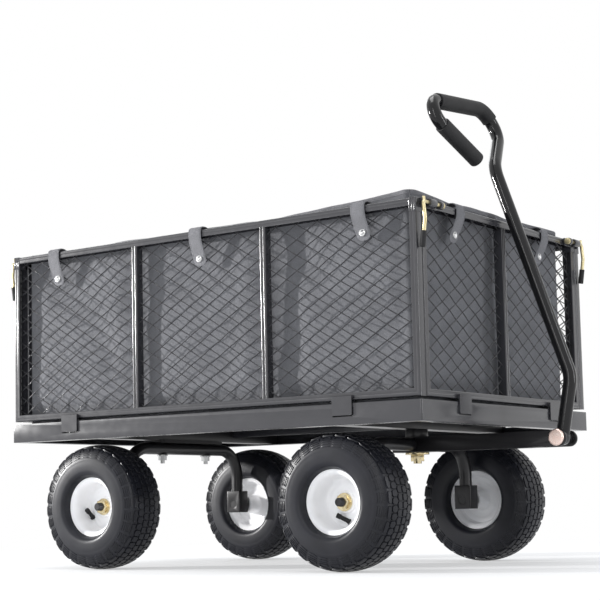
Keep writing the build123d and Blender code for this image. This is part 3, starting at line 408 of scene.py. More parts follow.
# the posts, tabs and straps lie as the CAD has them, counted along the panel from its middle
SIDES = (-0.160, 0.160), (-0.335, 0.335)
ENDS = (0.0,), (-0.180, 0.180)
PANELS = [
    Panel("right", "right_side", 180, *SIDES, (0.380, 0.0, -0.377), CAP_PROUD),
    Panel("left", "left_side", 0, *SIDES, (-0.380, 0.0, 0.377), CAP_PROUD),
    Panel("front", "root", -90, *ENDS, (-0.170, 0.170), 0.0),
    Panel("rear", "rear_end", 90, *ENDS, (-0.170, 0.170), 0.0),
]

TAB_WIDE = 43 * MM
TAB_THICK = 3 * MM
TAB_OUT = 3.3 * MM
TAB_DOWN = 27 * MM
TAB_UP = 8 * MM
HOOK_HALF = 18 * MM


def channel_section():
    """The bar's section as (in from the panel's edge, out from the wires): a channel with a ribbed face."""
    deep = PANEL_DEEP / 2
    edge = 3.2 * MM
    groove_half, groove = 1.7 * MM, 0.5 * MM
    flat_end = BAR - 1.6 * MM
    face = []
    for share in shares(12)[1:]:
        u = edge + (flat_end - edge) * share
        dip = max(0.0, 1 - ((u - BAR / 2) / groove_half) ** 2)
        face.append((u, deep - groove * dip ** 1.5))
    outer = [(edge - edge * c, deep - edge + edge * s) for c, s in turns((0, 22, 45, 67, 90))]
    lip = [(BAR - 0.5 * MM, deep - 0.4 * MM), (BAR, deep - 1.2 * MM), (BAR, deep - SHEET),
           (SHEET + 1 * MM, deep - SHEET - 0.8 * MM), (SHEET, deep - SHEET - 2 * MM)]
    upper = outer + face + lip
    # the back has no groove
    lower = [(u, -v) for u, v in reversed(upper) if not (edge < u < flat_end and v > deep - 1.5 * MM)]
    return upper + lower


def panel_frame(panel):
    """Folded channel bars mitred at the corners, ribbed posts, corner caps and hinge tabs."""
    section = channel_section()
    half, low, high = panel.half, panel.low, panel.high
    corners = ((-1, low, 1), (1, low, 1), (1, high, -1), (-1, high, -1))
    shape = Shape().loft([[(x_sign * (half - u), v, z + z_sign * u) for u, v in section]
                          for x_sign, z, z_sign in corners], through=True, caps=False)
    for post in panel.posts:
        shape.loft([[(post + u, v, z) for u, v in post_section(PANEL_DEEP / 2)]
                    for z in (low + BAR - 1 * MM, high - BAR + 1 * MM)])
    for side in (-1, 1):
        shape.add(corner_cap(panel, side))
    for tab in panel.tabs:
        shape.add(hinge_tab(panel, tab))
    shape.put(panel.matrix).make(panel.name + "_panel_frame_look", FRAME_PAINT, panel.body, "panel_paint",
                                 [panel.name + "_panel_frame"], sharp=32.0)


def post_section(deep):
    """A post's section: two round ribs on the outer face, flat behind."""
    half = BAR / 2
    ribs = [(BAR * share - half, deep - 2.2 * MM * (1 - abs(math.sin(2 * PI * share)) ** 0.8))
            for share in shares(32)]
    return ribs + [(half, deep - 4 * MM), (half, 1 * MM - deep), (half - 1 * MM, -deep),
                   (1 * MM - half, -deep), (-half, 1 * MM - deep), (-half, deep - 4 * MM)]


def corner_cap(panel, side):
    """The sleeve over a top corner, with three vertical ribs on its face."""
    deep = PANEL_DEEP / 2
    near, far = panel.half - BAR - 0.5 * MM, panel.half + panel.cap_end
    proud = deep + CAP_PROUD
    points = [(near + (far - near) * t, proud - 1.3 * MM * (1 - abs(math.sin(3 * PI * t)) ** 0.5))
              for t in shares(24)]
    points += [(far, -deep + 1 * MM), (far - 1 * MM, -deep), (near, -deep)]
    top, foot = panel.high + CAP_PROUD, panel.high - CAP_HIGH
    centre_u = (near + far) / 2
    rings = []
    for inset, z in ((0.3 * MM, foot), (0, foot + 0.6 * MM), (0, top - 1.2 * MM),
                     (0.5 * MM, top - 0.3 * MM), (1.4 * MM, top)):
        scale_u = 1 - inset / ((far - near) / 2)
        scale_v = 1 - inset / proud
        rings.append([(side * (centre_u + (u - centre_u) * scale_u), v * scale_v, z) for u, v in points])
    return Shape().loft(rings)


def hinge_tab(panel, place):
    """A plate from the bottom bar down over the bed's face, with the hook behind it."""
    deep = PANEL_DEEP / 2
    half = TAB_WIDE / 2
    low, high = panel.low - TAB_DOWN, panel.low + TAB_UP
    outline = (arc((place + half - 3 * MM, low + 3 * MM), 3 * MM, -90, 0, 4)
               + arc((place + half - 1 * MM, high - 1 * MM), 1 * MM, 0, 90, 2)
               + arc((place - half + 1 * MM, high - 1 * MM), 1 * MM, 90, 180, 2)
               + arc((place - half + 3 * MM, low + 3 * MM), 3 * MM, 180, 270, 4))
    shape = Shape().plate(outline, TAB_THICK, 0.5 * MM).put(Matrix.Translation((0, deep + TAB_OUT, 0)))
    root = rounded(-0.5 * MM, TAB_OUT + 0.5 * MM, panel.low, high - 0.5 * MM, 0.3 * MM, 1)
    hook = rounded(TAB_OUT - 8 * MM, TAB_OUT + 0.5 * MM, low + 0.1 * MM, low + 2.5 * MM, 0.6 * MM, 2)
    for section, reach in ((root, half - 1 * MM), (hook, HOOK_HALF)):
        shape.loft([[(x, deep + v, z) for v, z in section] for x in (place - reach, place + reach)])
    return shape


def diamond_wires(panel):
    """The wires of every window: two families that pass over and under each other."""
    shape = Shape()
    slope = DIAMOND_HIGH / DIAMOND_LONG
    low, high = panel.low + BAR - WIRE_IN_CHANNEL, panel.high - BAR + WIRE_IN_CHANNEL
    centre_z = (low + high) / 2
    windows = panel.windows()
    for index, (start, end) in enumerate(windows):
        start -= WIRE_IN_CHANNEL if index == 0 else 0
        end += WIRE_IN_CHANNEL if index == len(windows) - 1 else 0
        centre = (start + end) / 2
        reach = math.ceil((end - start) / DIAMOND_LONG / 2 + (high - low) / DIAMOND_HIGH / 2)
        for family in (-1, 1):
            for step in range(-reach, reach + 1):
                cross = centre + (step + 0.5) * DIAMOND_LONG
                ends = sorted((cross + (low - centre_z) / slope, cross + (high - centre_z) / slope))
                first, last = max(start, ends[0]), min(end, ends[1])
                if last - first >= SHORTEST_WIRE:
                    shape.tube(weave_path(centre, cross, centre_z, slope * family, first, last, family),
                               WIRE_R, sides=6)
    shape.put(panel.matrix).make(panel.name + "_panel_mesh_look", WIRE_PAINT, panel.body, "mesh_wire",
                                 [panel.name + "_panel_mesh"], sharp=80.0)


def weave_path(centre, cross, centre_z, slope, first, last, family):
    """A wire's line from first to last, rising and dipping at each crossing."""
    step = DIAMOND_LONG / 4
    from_step = math.ceil((first - centre) / step + 0.15)
    to_step = math.floor((last - centre) / step - 0.15)
    stops = [first] + [centre + k * step for k in range(from_step, to_step + 1)] + [last]
    return [(u, family * WEAVE * math.cos(PI * (u - centre) / (2 * step)), centre_z + (u - cross) * slope)
            for u in stops]


# ---------------------------------------------------------------- wheels
TYRE_LOW, TYRE_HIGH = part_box("rear_left_tyre")
TYRE_R = (TYRE_HIGH.z - TYRE_LOW.z) / 2
TYRE_HALF = (TYRE_HIGH.y - TYRE_LOW.y) / 2
LUG_RISE = 2.6 * MM
CARCASS_R = TYRE_R - LUG_RISE
RIM_EDGE_R = 60.5 * MM
RIM_HALF = 34 * MM
LUGS = 28
# the section's crown takes this share of it, reaches this far out and drops this much
CROWN_SHARE = 0.35
CROWN_HALF = 40 * MM
CROWN_DROP = 5.5 * MM
# the wall swells to its widest at this radius, through these angles above and below it
WIDEST_R = 80 * MM
ABOVE, BELOW = math.radians(62), math.radians(56)


def carcass_curve(t):
    """The tyre's bare outside, from the crown (t 0) round to the rim's edge (t 1), as (y, radius)."""
    if t < CROWN_SHARE:
        s = t / CROWN_SHARE
        return CROWN_HALF * s, CARCASS_R - CROWN_DROP * s ** 2.4
    angle = ABOVE - (t - CROWN_SHARE) / (1 - CROWN_SHARE) * (ABOVE + BELOW)
    wide = TYRE_HALF - 0.4 * MM
    if angle > 0:
        swell = (math.cos(angle) - math.cos(ABOVE)) / (1 - math.cos(ABOVE))
        lift = (CARCASS_R - CROWN_DROP - WIDEST_R) / math.sin(ABOVE)
        return CROWN_HALF + (wide - CROWN_HALF) * swell, WIDEST_R + lift * math.sin(angle)
    drop = (WIDEST_R - RIM_EDGE_R) / math.sin(BELOW)
    return wide - (wide - RIM_HALF + 2 * MM) * (angle / BELOW) ** 4, WIDEST_R + drop * math.sin(angle)


def carcass_point(t, side, angle, lift=0.0):
    """A point on the tyre at a share t of its section and an angle round it, lifted off the surface."""
    y, r = carcass_curve(t)
    y2, r2 = carcass_curve(t + 0.01)
    along = Vector((y2 - y, r2 - r)).normalized()
    y -= lift * along.y
    r += lift * along.x
    return Vector((r * math.sin(angle), side * y, r * math.cos(angle)))


def lug_rings(outline, side, base_angle, steps):
    """An outline of (section share, degrees) pairs, spread about its middle and lifted at each step."""
    centre_t = sum(t for t, _ in outline) / len(outline)
    centre_a = sum(a for _, a in outline) / len(outline)
    return [[carcass_point(centre_t + (t - centre_t) * spread, side,
                           base_angle + math.radians(centre_a + (a - centre_a) * spread), lift)
             for t, a in outline] for spread, lift in steps]


def lug(shape, outline, side, base_angle, rise, edge=0.6 * MM):
    """A raised block."""
    steps = ((1.05, -0.8 * MM), (1.0, rise - edge), (0.94, rise), (0.5, rise))
    shape.loft(lug_rings(outline, side, base_angle, steps))


def ring_lug(shape, outline, side, base_angle, rise, share):
    """A raised outline: a block with its middle left out."""
    steps = ((1.04, -0.6 * MM), (1.0, rise), (share + 0.04, rise), (share, -0.6 * MM))
    shape.loft(lug_rings(outline, side, base_angle, steps), through=True, caps=False)


def block_outline(t0, t1, half, cut):
    """A block with its corners cut, as (section share, degrees)."""
    dt, da = (t1 - t0) * cut, half * (1 - 2 * cut)
    return [(t0 + dt, -half), (t1 - dt, -half), (t1, -da), (t1, da),
            (t1 - dt, half), (t0 + dt, half), (t0, da), (t0, -da)]


def d_outline(t0, t1, half):
    """A D: straight towards the rim, round towards the crown."""
    bow = [((t0 + t1) / 2 - (t1 - t0) / 2 * c, half * s) for c, s in turns(range(-75, 76, 25))]
    return [(t1, -half)] + bow + [(t1, half)]


# the raised and sunk rings round the wall: section share, width in shares, rise in mm
WALL_RINGS = ((0.565, 0.006, 0.6), (0.90, 0.014, 0.7), (0.945, 0.010, -0.9))


def tyre(wheel):
    """The tyre: a smooth carcass with rings on its walls and rows of tread blocks."""
    shape = Shape()
    outer = []
    for t in shares(44):
        y, r = carcass_curve(t)
        ring = sum(rise * MM * math.exp(-((t - ring_t) / width) ** 2) for ring_t, width, rise in WALL_RINGS)
        outer.append((r, y + ring))
    inner = [(RIM_EDGE_R - 3 * MM, outer[-1][1] - 1 * MM), (53 * MM, RIM_HALF - 6 * MM)]
    far_side = [(r, -y) for r, y in outer + inner]
    shape.lathe(outer + inner + list(reversed(far_side)), segments=144)
    pitch = 360 / LUGS
    for index in range(LUGS):
        for hand in (-1, 1):
            base = math.radians(pitch * (index + 0.25 * hand))
            for half_turn in (0, pitch / 2):
                turn = base + math.radians(half_turn)
                lug(shape, block_outline(0.022, 0.118, 2.75, 0.16), hand, turn, LUG_RISE)
                lug(shape, block_outline(0.142, 0.250, 2.80, 0.20), hand, turn + math.radians(3.2), LUG_RISE)
            lug(shape, block_outline(0.275, 0.338, 5.2, 0.18), hand, base, LUG_RISE)
            ring_lug(shape, d_outline(0.356, 0.426, 5.0), hand, base, 1.2 * MM, 0.74)
            for start in (0.447, 0.484, 0.521):
                lug(shape, block_outline(start, start + 0.017, 5.2, 0.2), hand, base, 1.0 * MM, 0.4 * MM)
    shape.put(wheel_matrix(wheel)).make(wheel + "_tyre_look", TYRE_RUBBER, wheel + "_wheel", "tyre_rubber",
                                        [wheel + "_tyre"], sharp=38.0)


def wheel_matrix(wheel):
    """From a wheel drawn about the origin with its outside at +y to its place."""
    turn = 0 if wheel.endswith("left") else 180
    return Matrix.Translation(middle(wheel + "_tyre")) @ Matrix.Rotation(math.radians(turn), 4, "Z")


def in_metres(profile):
    """A list of (radius, y) points from mm to metres."""
    return [(r * MM, y * MM) for r, y in profile]


def rim_profile():
    """The rim's section as (radius, y) in mm, outside first, with rounded pressings."""
    half, lip = RIM_HALF / MM, RIM_EDGE_R / MM
    edge = [(lip - 0.6, half - 1.6), (lip, half - 0.8), (lip - 0.8, half), (56, half - 1.2), (52.5, half - 4)]
    face = [(50.2, half - 8), (49.5, 14), (49.2, -4), (48.2, -9), (45.5, -11.8), (42, -12.2), (39.5, -11.6),
            (37.2, -10.2), (34.6, -9.2), (28, -9), (23.4, -8.8), (21.4, -7.6), (20.5, -5.4), (20.5, -3.8),
            (19.8, -3), (16.3, -3)]
    back = [(16.3, -52), (19.6, -52), (20.5, -51.2), (20.5, -16), (21.6, -13), (24, -11.6), (33.6, -11.6),
            (36, -12.6), (38.6, -14.2), (42, -14.9), (46, -15), (48.6, -17.4), (49.5, -21), (49.8, 8 - half)]
    well = [(54.5, 6 - half), (52, 10 - half), (52, half - 10), (54.5, half - 6)]
    return edge + face + back + [(r, -y) for r, y in reversed(edge)] + well


def rim(wheel, valve_seat, valve_way):
    """The pressed rim with its hub, bearings and rubber valve."""
    body = wheel + "_wheel"
    matrix = wheel_matrix(wheel)
    shape = Shape().lathe(in_metres(rim_profile()), segments=112).put(matrix)
    shape.make(wheel + "_rim_look", RIM_PAINT, body, "rim_paint", [wheel + "_rim"], sharp=34.0)
    races = Shape()
    for face, back in ((-3.4, -11.4), (-51.6, -43.6)):
        sunk = face * 0.985
        races.lathe(in_metres([(16.2, back), (16.2, face), (13.6, face), (13.2, sunk), (10.6, sunk),
                               (10.2, face), (8.3, face), (8.3, back)]), segments=64)
    races.put(matrix).make(wheel + "_bearings", GREY_ZINC, body, "grey_zinc")
    seat = Vector((valve_seat[0], -11, valve_seat[1])) * MM
    way = Vector(valve_way).normalized() * MM
    stem = Shape().tube([seat + way * out for out in (0, 0.6, 1.5, 3, 5, 19, 19.6, 27.4, 28)],
                        [r * MM for r in (5.6, 6.0, 6.0, 5.0, 4.2, 4.0, 4.8, 4.8, 4.0)], sides=20)
    stem.put(matrix).make(wheel + "_valve", GRIP_RUBBER, body, "grip_rubber", sharp=45.0)


# ---------------------------------------------------------------- liner
FABRIC = 2 * MM
CLOTH_STEP = 5.5 * MM
CLOTH_ROWS = 62
CAD_CORNER = 50 * MM
# each upright corner's radius, and how far its top stands above the CAD's top edge
CORNERS = {"front_right": (20 * MM, 2 * MM), "front_left": (52 * MM, -2 * MM),
           "rear_left": (30 * MM, -6 * MM), "rear_right": (14 * MM, -14 * MM)}


class Wall:
    """One of the liner's walls with its two half corners, in the place of its panel."""

    def __init__(self, panel, seed, first_corner, last_corner):
        self.panel = panel
        self.seed = seed
        low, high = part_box("liner_wall_" + panel.name)
        spot = middle(panel.name + "_panel_mesh")
        along = 0 if panel.name in ("right", "left") else 1
        self.face = abs((low if panel.name in ("right", "rear") else high)[1 - along] - spot[1 - along])
        self.full = (high[along] - low[along]) / 2 + CAD_CORNER * (1 - math.sqrt(0.5))
        self.corners = {-1: CORNERS[first_corner], 1: CORNERS[last_corner]}
        self.bottom = low.z
        self.top = high.z

    def end(self, sign):
        """Where the wall's straight part ends and where its half corner ends, counted along it."""
        radius = self.corners[sign][0]
        return self.full - radius, self.full - radius + radius * PI / 4

    def corner_share(self, run):
        """0 along the wall, 1 at the corner's seam."""
        straight, seam = self.end(1 if run > 0 else -1)
        return smoothstep(abs(run), straight - 0.020, seam - 1 * MM)

    def point(self, run, z, inward=0.0):
        """A point at a distance run along the wall from its middle, at height z."""
        sign = 1 if run > 0 else -1
        straight, _ = self.end(sign)
        bend = self.corners[sign][0]
        if abs(run) <= straight:
            x, y, normal = run, -self.face - inward, Vector((0, 1))
        else:
            angle = (abs(run) - straight) / bend
            x = sign * (straight + (bend - inward) * math.sin(angle))
            y = -self.face - bend + (bend - inward) * math.cos(angle)
            normal = Vector((sign * math.sin(angle), math.cos(angle)))
        push = self.relief(run, z)
        return Vector((x + normal.x * push, y + normal.y * push, z))

    def relief(self, run, z):
        """How far the cloth stands out from its CAD plane towards the wires."""
        panel = self.panel
        best = 0.0
        for start, end in panel.windows():
            inside = min(run - start, end - run)
            if inside > 0:
                best = smoothstep(inside, 0.004, 0.060)
        bottom = smoothstep(z - panel.low, 0.012, 0.050)
        top = 1 - smoothstep(z, panel.high - 0.075, panel.high - 0.012)
        crumple = noise.fractal(Vector((run * 5.2, z * 9.5, self.seed)), 1.0, 2.0, 3)
        fine = noise.noise(Vector((run * 26, z * 38, self.seed + 7)))
        push = BULGE * best * bottom * top - LAID_BACK + CRUMPLE * crumple + WRINKLE * fine
        for middle_run, middle_z, long, wide, tilt, depth in TROUGHS[panel.name]:
            du, dw = run - middle_run, z - middle_z
            c, s = math.cos(math.radians(tilt)), math.sin(math.radians(tilt))
            a, b = (du * c + dw * s) / long, (dw * c - du * s) / wide
            push -= depth * math.exp(-a * a - b * b)
        push = min(push, FURTHEST)
        # near the floor and above the rail the cloth returns to its plane
        push *= smoothstep(z, self.bottom, self.bottom + 0.030)
        over = smoothstep(z, panel.high - 0.012, panel.high + 0.004)
        edge = -2.5 + 1.5 * math.sin(run * 21 + self.seed)
        push = push * (1 - over) + edge * over
        corner = self.corner_share(run)
        return MM * (push * (1 - corner) - 1.5 * corner)

    def height(self, run):
        """The top edge: its own waving line along the wall, and the corner's height at each end."""
        straight, _ = self.end(1 if run > 0 else -1)
        corner = min(1.0, max(0.0, (abs(run) - straight + 0.130) / 0.135))
        lift = self.corners[1 if run > 0 else -1][1]
        base, rise, *waves = EDGES[self.panel.name]
        line = base + rise * smoothstep(-run, 0.12, 0.385) + sum(
            high * math.sin(run * pace + start) for high, pace, start in waves)
        return self.top + line * MM * (1 - corner) + lift * corner

    def build(self):
        """The wall's cloth as a thin sheet with a bound top edge."""
        first, last = 0.1 * MM - self.end(-1)[1], self.end(1)[1] - 0.1 * MM
        runs = [first + (last - first) * share for share in shares(math.ceil((last - first) / CLOTH_STEP))]
        rings = []
        for run in runs:
            line = [self.bottom + (self.height(run) - self.bottom) * share for share in shares(CLOTH_ROWS)]
            rings.append([self.point(run, z) for z in line]
                         + [self.point(run, z, FABRIC * 0.6) for z in reversed(line)])
        panel, name = self.panel, "liner_wall_" + self.panel.name
        piece = Shape().loft(rings).put(panel.matrix).make(
            name + "_cloth", panel.cloth, panel.body, "liner_fabric", [name], sharp=60.0,
            ride=panel.body == "root")
        path = [self.point(run, self.height(run) - 3 * MM, FABRIC * 0.3) for run in runs]
        rings = []
        for i, spot in enumerate(path):
            ahead = path[min(i + 1, len(path) - 1)] - path[max(i - 1, 0)]
            out = Vector((-ahead.y, ahead.x, 0)).normalized()
            rings.append([spot + out * v * MM + Vector((0, 0, w * MM)) for v, w in HEM])
        binding = Shape().loft(rings).put(panel.matrix).make(
            name + "_binding", STRAP_CLOTH, panel.body, "liner_fabric", sharp=50.0)
        if panel.body != "root":
            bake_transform(piece)


# the cloth's relief in mm: how far it lies back from the wires, bulges towards them in each window,
# crumples and wrinkles, and the furthest that it may stand out
LAID_BACK, BULGE, CRUMPLE, WRINKLE, FURTHEST = 8.0, 8.5, 3.4, 0.7, 6.4
# the hem's section as (out, up) in mm
HEM = ((-1.2, -4), (1.2, -4), (1.5, -3), (1.5, 2.6), (0.7, 4), (-0.7, 4), (-1.5, 2.6), (-1.5, -3))
# each top edge: its height in mm, its rise towards one end, and its waves' height, pace and start
EDGES = {
    "right": (-14, 6, (1.0, -26, 0), (0.5, -61, 1)),
    "left": (-7, 0, (3, 13, 0.6), (1.5, 37, 0)),
    "front": (-3, 0, (1.6, 25, 0), (0.7, 58, 2)),
    "rear": (-8, 0, (3, 16, 1.1), (1.4, 41, 0)),
}
# the folds that press into each wall: run and height of their middle, length, width, tilt, depth in mm
TROUGHS = {
    "right": ((0.345, 0.560, 0.150, 0.050, 38, 11), (0.240, 0.420, 0.090, 0.030, 62, 8),
              (0.030, 0.575, 0.110, 0.045, -14, 10), (-0.060, 0.440, 0.045, 0.110, 12, 7),
              (-0.230, 0.585, 0.070, 0.050, 24, 11), (-0.205, 0.450, 0.030, 0.100, -8, 9),
              (-0.400, 0.410, 0.090, 0.035, -30, 6)),
    "left": ((-0.300, 0.520, 0.120, 0.045, 30, 10), (0.020, 0.560, 0.120, 0.040, -18, 9),
             (0.110, 0.420, 0.040, 0.090, 10, 7), (0.330, 0.540, 0.090, 0.045, 35, 10)),
    "front": ((0.190, 0.560, 0.090, 0.045, 28, 9), (0.060, 0.440, 0.035, 0.100, 6, 7),
              (-0.130, 0.570, 0.100, 0.040, -22, 9), (-0.220, 0.430, 0.060, 0.050, 20, 7)),
    "rear": ((-0.160, 0.550, 0.100, 0.045, 26, 10), (0.150, 0.560, 0.090, 0.040, -30, 9),
             (0.100, 0.420, 0.050, 0.080, 14, 7)),
}


def liner_floor():
    """The liner's bottom, lying on the mesh deck."""
    low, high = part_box("liner_floor")
    centre = (low + high) / 2
    half_x, half_y = (high.x - low.x) / 2, (high.y - low.y) / 2
    outline = rounded(-half_x, half_x, -half_y, half_y, CAD_CORNER, 10)
    rings = []
    for share in [1.0, 0.985, 0.95] + [0.9 - 0.08 * i for i in range(11)] + [0.03, 0.001]:
        ring = []
        for x, y in outline:
            x, y = x * share, y * share
            wave = max(0.0, noise.fractal(Vector((x * 6, y * 6, 3.3)), 1.0, 2.0, 3))
            ring.append((centre.x + x, centre.y + y, low.z + FABRIC + 2.2 * MM * wave * (1 - share ** 8)))
        rings.append(ring)
    under = [[(x, y, low.z) for x, y, _ in ring] for ring in (rings[-1], rings[0])]
    floor = Shape().loft(rings + under, through=True, caps=False).make(
        "liner_floor_cloth", LINER_CLOTH_FLAT, "root", "liner_fabric", ["liner_floor"], sharp=60.0)


# ---------------------------------------------------------------- straps
STRAP_WIDE = 30 * MM
STRAP_THICK = 1.6 * MM
STRAP_ROUND = 12 * MM
SNAP_UP = 14 * MM
# how far its arch stands clear of the rail, and how far inwards the arch's middle lies
STRAP_CLEAR = 3.4 * MM
STRAP_BACK = 1.5 * MM
# the stitches' spacing, half length, radius and place in from the edge; they start near the rail's top
STITCH_STEP, STITCH_HALF, STITCH_R, STITCH_IN = 3.4 * MM, 1.1 * MM, 0.3 * MM, 2.6 * MM
STITCH_MARGIN = 12 * MM
FIRST_STITCHED = 6
# a side panel's third strap, next to the front corner, is this much shorter
SHORTER = 6 * MM
# in mm, how far the straps' lower ends swing along the rail, how far they hang down and how high they arch
STRAP_HANG = {"right": (-7, 70, 5), "left": (7, 70, 5), "front": (17, 64, 8), "rear": (-6, 68, 6)}


class Strap:
    """A webbing strap folded over a panel's rail, with a snap near its rounded lower end."""

    def __init__(self, panel, place, number):
        self.panel = panel
        self.place = place
        self.drift, self.drop, arch = (size * MM for size in STRAP_HANG[panel.name])
        if number == 3:
            self.drop -= SHORTER
        self.line = self.side_line(9 * MM + 0.8 * MM * math.sin(number * 2.1), arch)
        self.lengths = [0.0]
        for a, b in zip(self.line, self.line[1:]):
            self.lengths.append(self.lengths[-1] + math.dist(a, b))
        self.total = self.lengths[-1]
        name = "%s_panel_strap_%d" % (panel.name, number)
        band = self.band().make(name, STRAP_CLOTH, panel.body, "strap_fabric",
                                [panel.name + "_panel_straps"], sharp=50.0)
        snap = self.snap().make(name + "_snap", GREY_ZINC, panel.body, "grey_zinc", sharp=40.0)
        self.stitching().make(name + "_stitching", STRAP_CLOTH, panel.body, "strap_fabric", sharp=60.0)

    def side_line(self, lean, arch):
        """Its line over the rail, as (out, height), from the liner's hem to its lower end."""
        top = self.panel.high
        half = PANEL_DEEP / 2 + STRAP_CLEAR
        points = [Vector((-STRAP_BACK - half, top - down * MM)) for down in (18, 10, 3)]
        points += [Vector((half * c - STRAP_BACK, top - 1 * MM + (arch + 2.6 * MM) * s ** 0.8))
                   for c, s in turns(range(165, 0, -15))]
        lead = points[-1].x
        for t in shares(11):
            out = lead + 0.6 * MM * (1 - t) - lean * smoothstep(t, 0.05, 0.95) + 1.4 * MM * math.sin(t * PI)
            points.append(Vector((out, top - 5 * MM - t * (self.drop - 5 * MM))))
        return points

    def middle(self, height):
        """Its middle at a height: the lower part swings along the rail."""
        return self.place + self.drift * smoothstep(self.panel.high - height, 0.005, self.drop)

    def half_wide(self, left):
        """Half its width a distance from its rounded lower end."""
        if left >= STRAP_ROUND:
            return STRAP_WIDE / 2
        return STRAP_WIDE / 2 - STRAP_ROUND + math.sqrt(
            max(0.0, STRAP_ROUND ** 2 - (STRAP_ROUND - left) ** 2))

    def band(self):
        """The webbing: slightly cupped across, thinner at its edges."""
        line, lengths, total = self.line, self.lengths, self.total
        spots = list(zip(lengths[:-1], line[:-1]))
        for left in (10, 7.5, 5, 3, 1.6, 0.6, 0.1):
            share = (total - left * MM - lengths[-2]) / (total - lengths[-2])
            if share > 0:
                spots.append((total - left * MM, line[-2].lerp(line[-1], share)))
        rings = []
        for index, (run, spot) in enumerate(spots):
            before, after = spots[max(index - 1, 0)][1], spots[min(index + 1, len(spots) - 1)][1]
            tangent = (after - before).normalized()
            normal = Vector((-tangent.y, tangent.x))
            half, centre = self.half_wide(total - run), self.middle(spot.y)
            top_side, low_side = [], []
            for u in (2 * share - 1 for share in shares(12)):
                edge = 0.25 * MM if abs(u) > 0.9 else 0.0
                for side, sign in ((top_side, 1), (low_side, -1)):
                    shift = 0.5 * MM * (1 - u * u) + sign * (STRAP_THICK / 2 - edge)
                    side.append((centre + u * half, spot.x + normal.x * shift, spot.y + normal.y * shift))
            rings.append(top_side + list(reversed(low_side)))
        return Shape().loft(rings).put(self.panel.matrix)

    def snap(self):
        """The snap's cap: a domed rim, a dished ring and a raised middle."""
        high = self.panel.high - self.drop + SNAP_UP
        out = next(a.x + (b.x - a.x) * (high - a.y) / (b.y - a.y)
                   for a, b in reversed(list(zip(self.line, self.line[1:]))) if b.y <= high <= a.y > b.y)
        face = out + STRAP_THICK / 2 + 1.2 * MM
        profile = ((0.0, -2.2), (6.6, -2.2), (7.0, -0.4), (6.5, 0.7), (5.4, 0.9), (4.4, 0.0), (2.8, -0.3),
                   (2.2, 0.7), (1.2, 1.2), (0.0, 1.3))
        shape = Shape().lathe([(r * MM, face + y * MM) for r, y in profile], segments=40, closed=False)
        return shape.put(self.panel.matrix @ Matrix.Translation((self.middle(high), 0, high)))

    def stitching(self):
        """Two rows of stitches down the outer face."""
        shape = Shape()
        run = 0.0
        while run < self.total - STITCH_MARGIN:
            index = next(i for i, length in enumerate(self.lengths[1:]) if length >= run)
            a, b = self.line[index], self.line[index + 1]
            along = (b - a).normalized()
            base = (a + along * (run - self.lengths[index])
                    + Vector((-along.y, along.x)) * (STRAP_THICK / 2 + STITCH_R))
            ends = (base - along * STITCH_HALF, base + along * STITCH_HALF)
            if index >= FIRST_STITCHED:
                for side in (-1, 1):
                    shape.tube([(self.middle(end.y) + side * (STRAP_WIDE / 2 - STITCH_IN), end.x, end.y)
                                for end in ends], STITCH_R, sides=5)
            run += STITCH_STEP
        return shape.put(self.panel.matrix)


# ---------------------------------------------------------------- handle
HANDLE_LEAN = math.radians(19.2)
HANDLE_NECK = 0.436
PIN = middle("handle_pin")
KICK = Vector((PIN.x + 21.5 * MM, 0, PIN.z + 113.1 * MM))
LOOP = ((133.0, 150.0), (-230.5, 108.3), (-65.5, 7.0))
HANDLE_BENDS = (60 * MM, 60 * MM, 43 * MM, 29 * MM)
HANDLE_R = 12.5 * MM
STRAIGHT_STEP = 20 * MM
BEND_STEP = 3 * MM
GRIP_R = 15 * MM


def filleted(corners, radii):
    """Points along straight runs joined by arcs, with each run's end index."""
    path = [Vector(corners[0])]
    marks = [0]
    for index in range(1, len(corners) - 1):
        before, here, after = (Vector(corners[i]) for i in (index - 1, index, index + 1))
        back, ahead = (before - here).normalized(), (after - here).normalized()
        turn = PI - back.angle(ahead)
        radius = radii[index - 1]
        reach = radius * math.tan(turn / 2)
        start, end = here + back * reach, here + ahead * reach
        centre = here + (back + ahead).normalized() * radius / math.cos(turn / 2)
        marks.append(fill(path, start))
        count = max(6, math.ceil(radius * turn / BEND_STEP))
        axis = (start - centre).cross(end - centre).normalized()
        path += [centre + Matrix.Rotation(turn * share, 3, axis) @ (start - centre)
                 for share in shares(count)[1:]]
        marks.append(len(path) - 1)
    marks.append(fill(path, Vector(corners[-1])))
    return path, marks


def fill(path, end):
    """Add evenly spaced points up to end and return the last one's index."""
    start = path[-1]
    count = max(1, round((end - start).length / STRAIGHT_STEP))
    path += [start.lerp(end, share) for share in shares(count)[1:]]
    return len(path) - 1


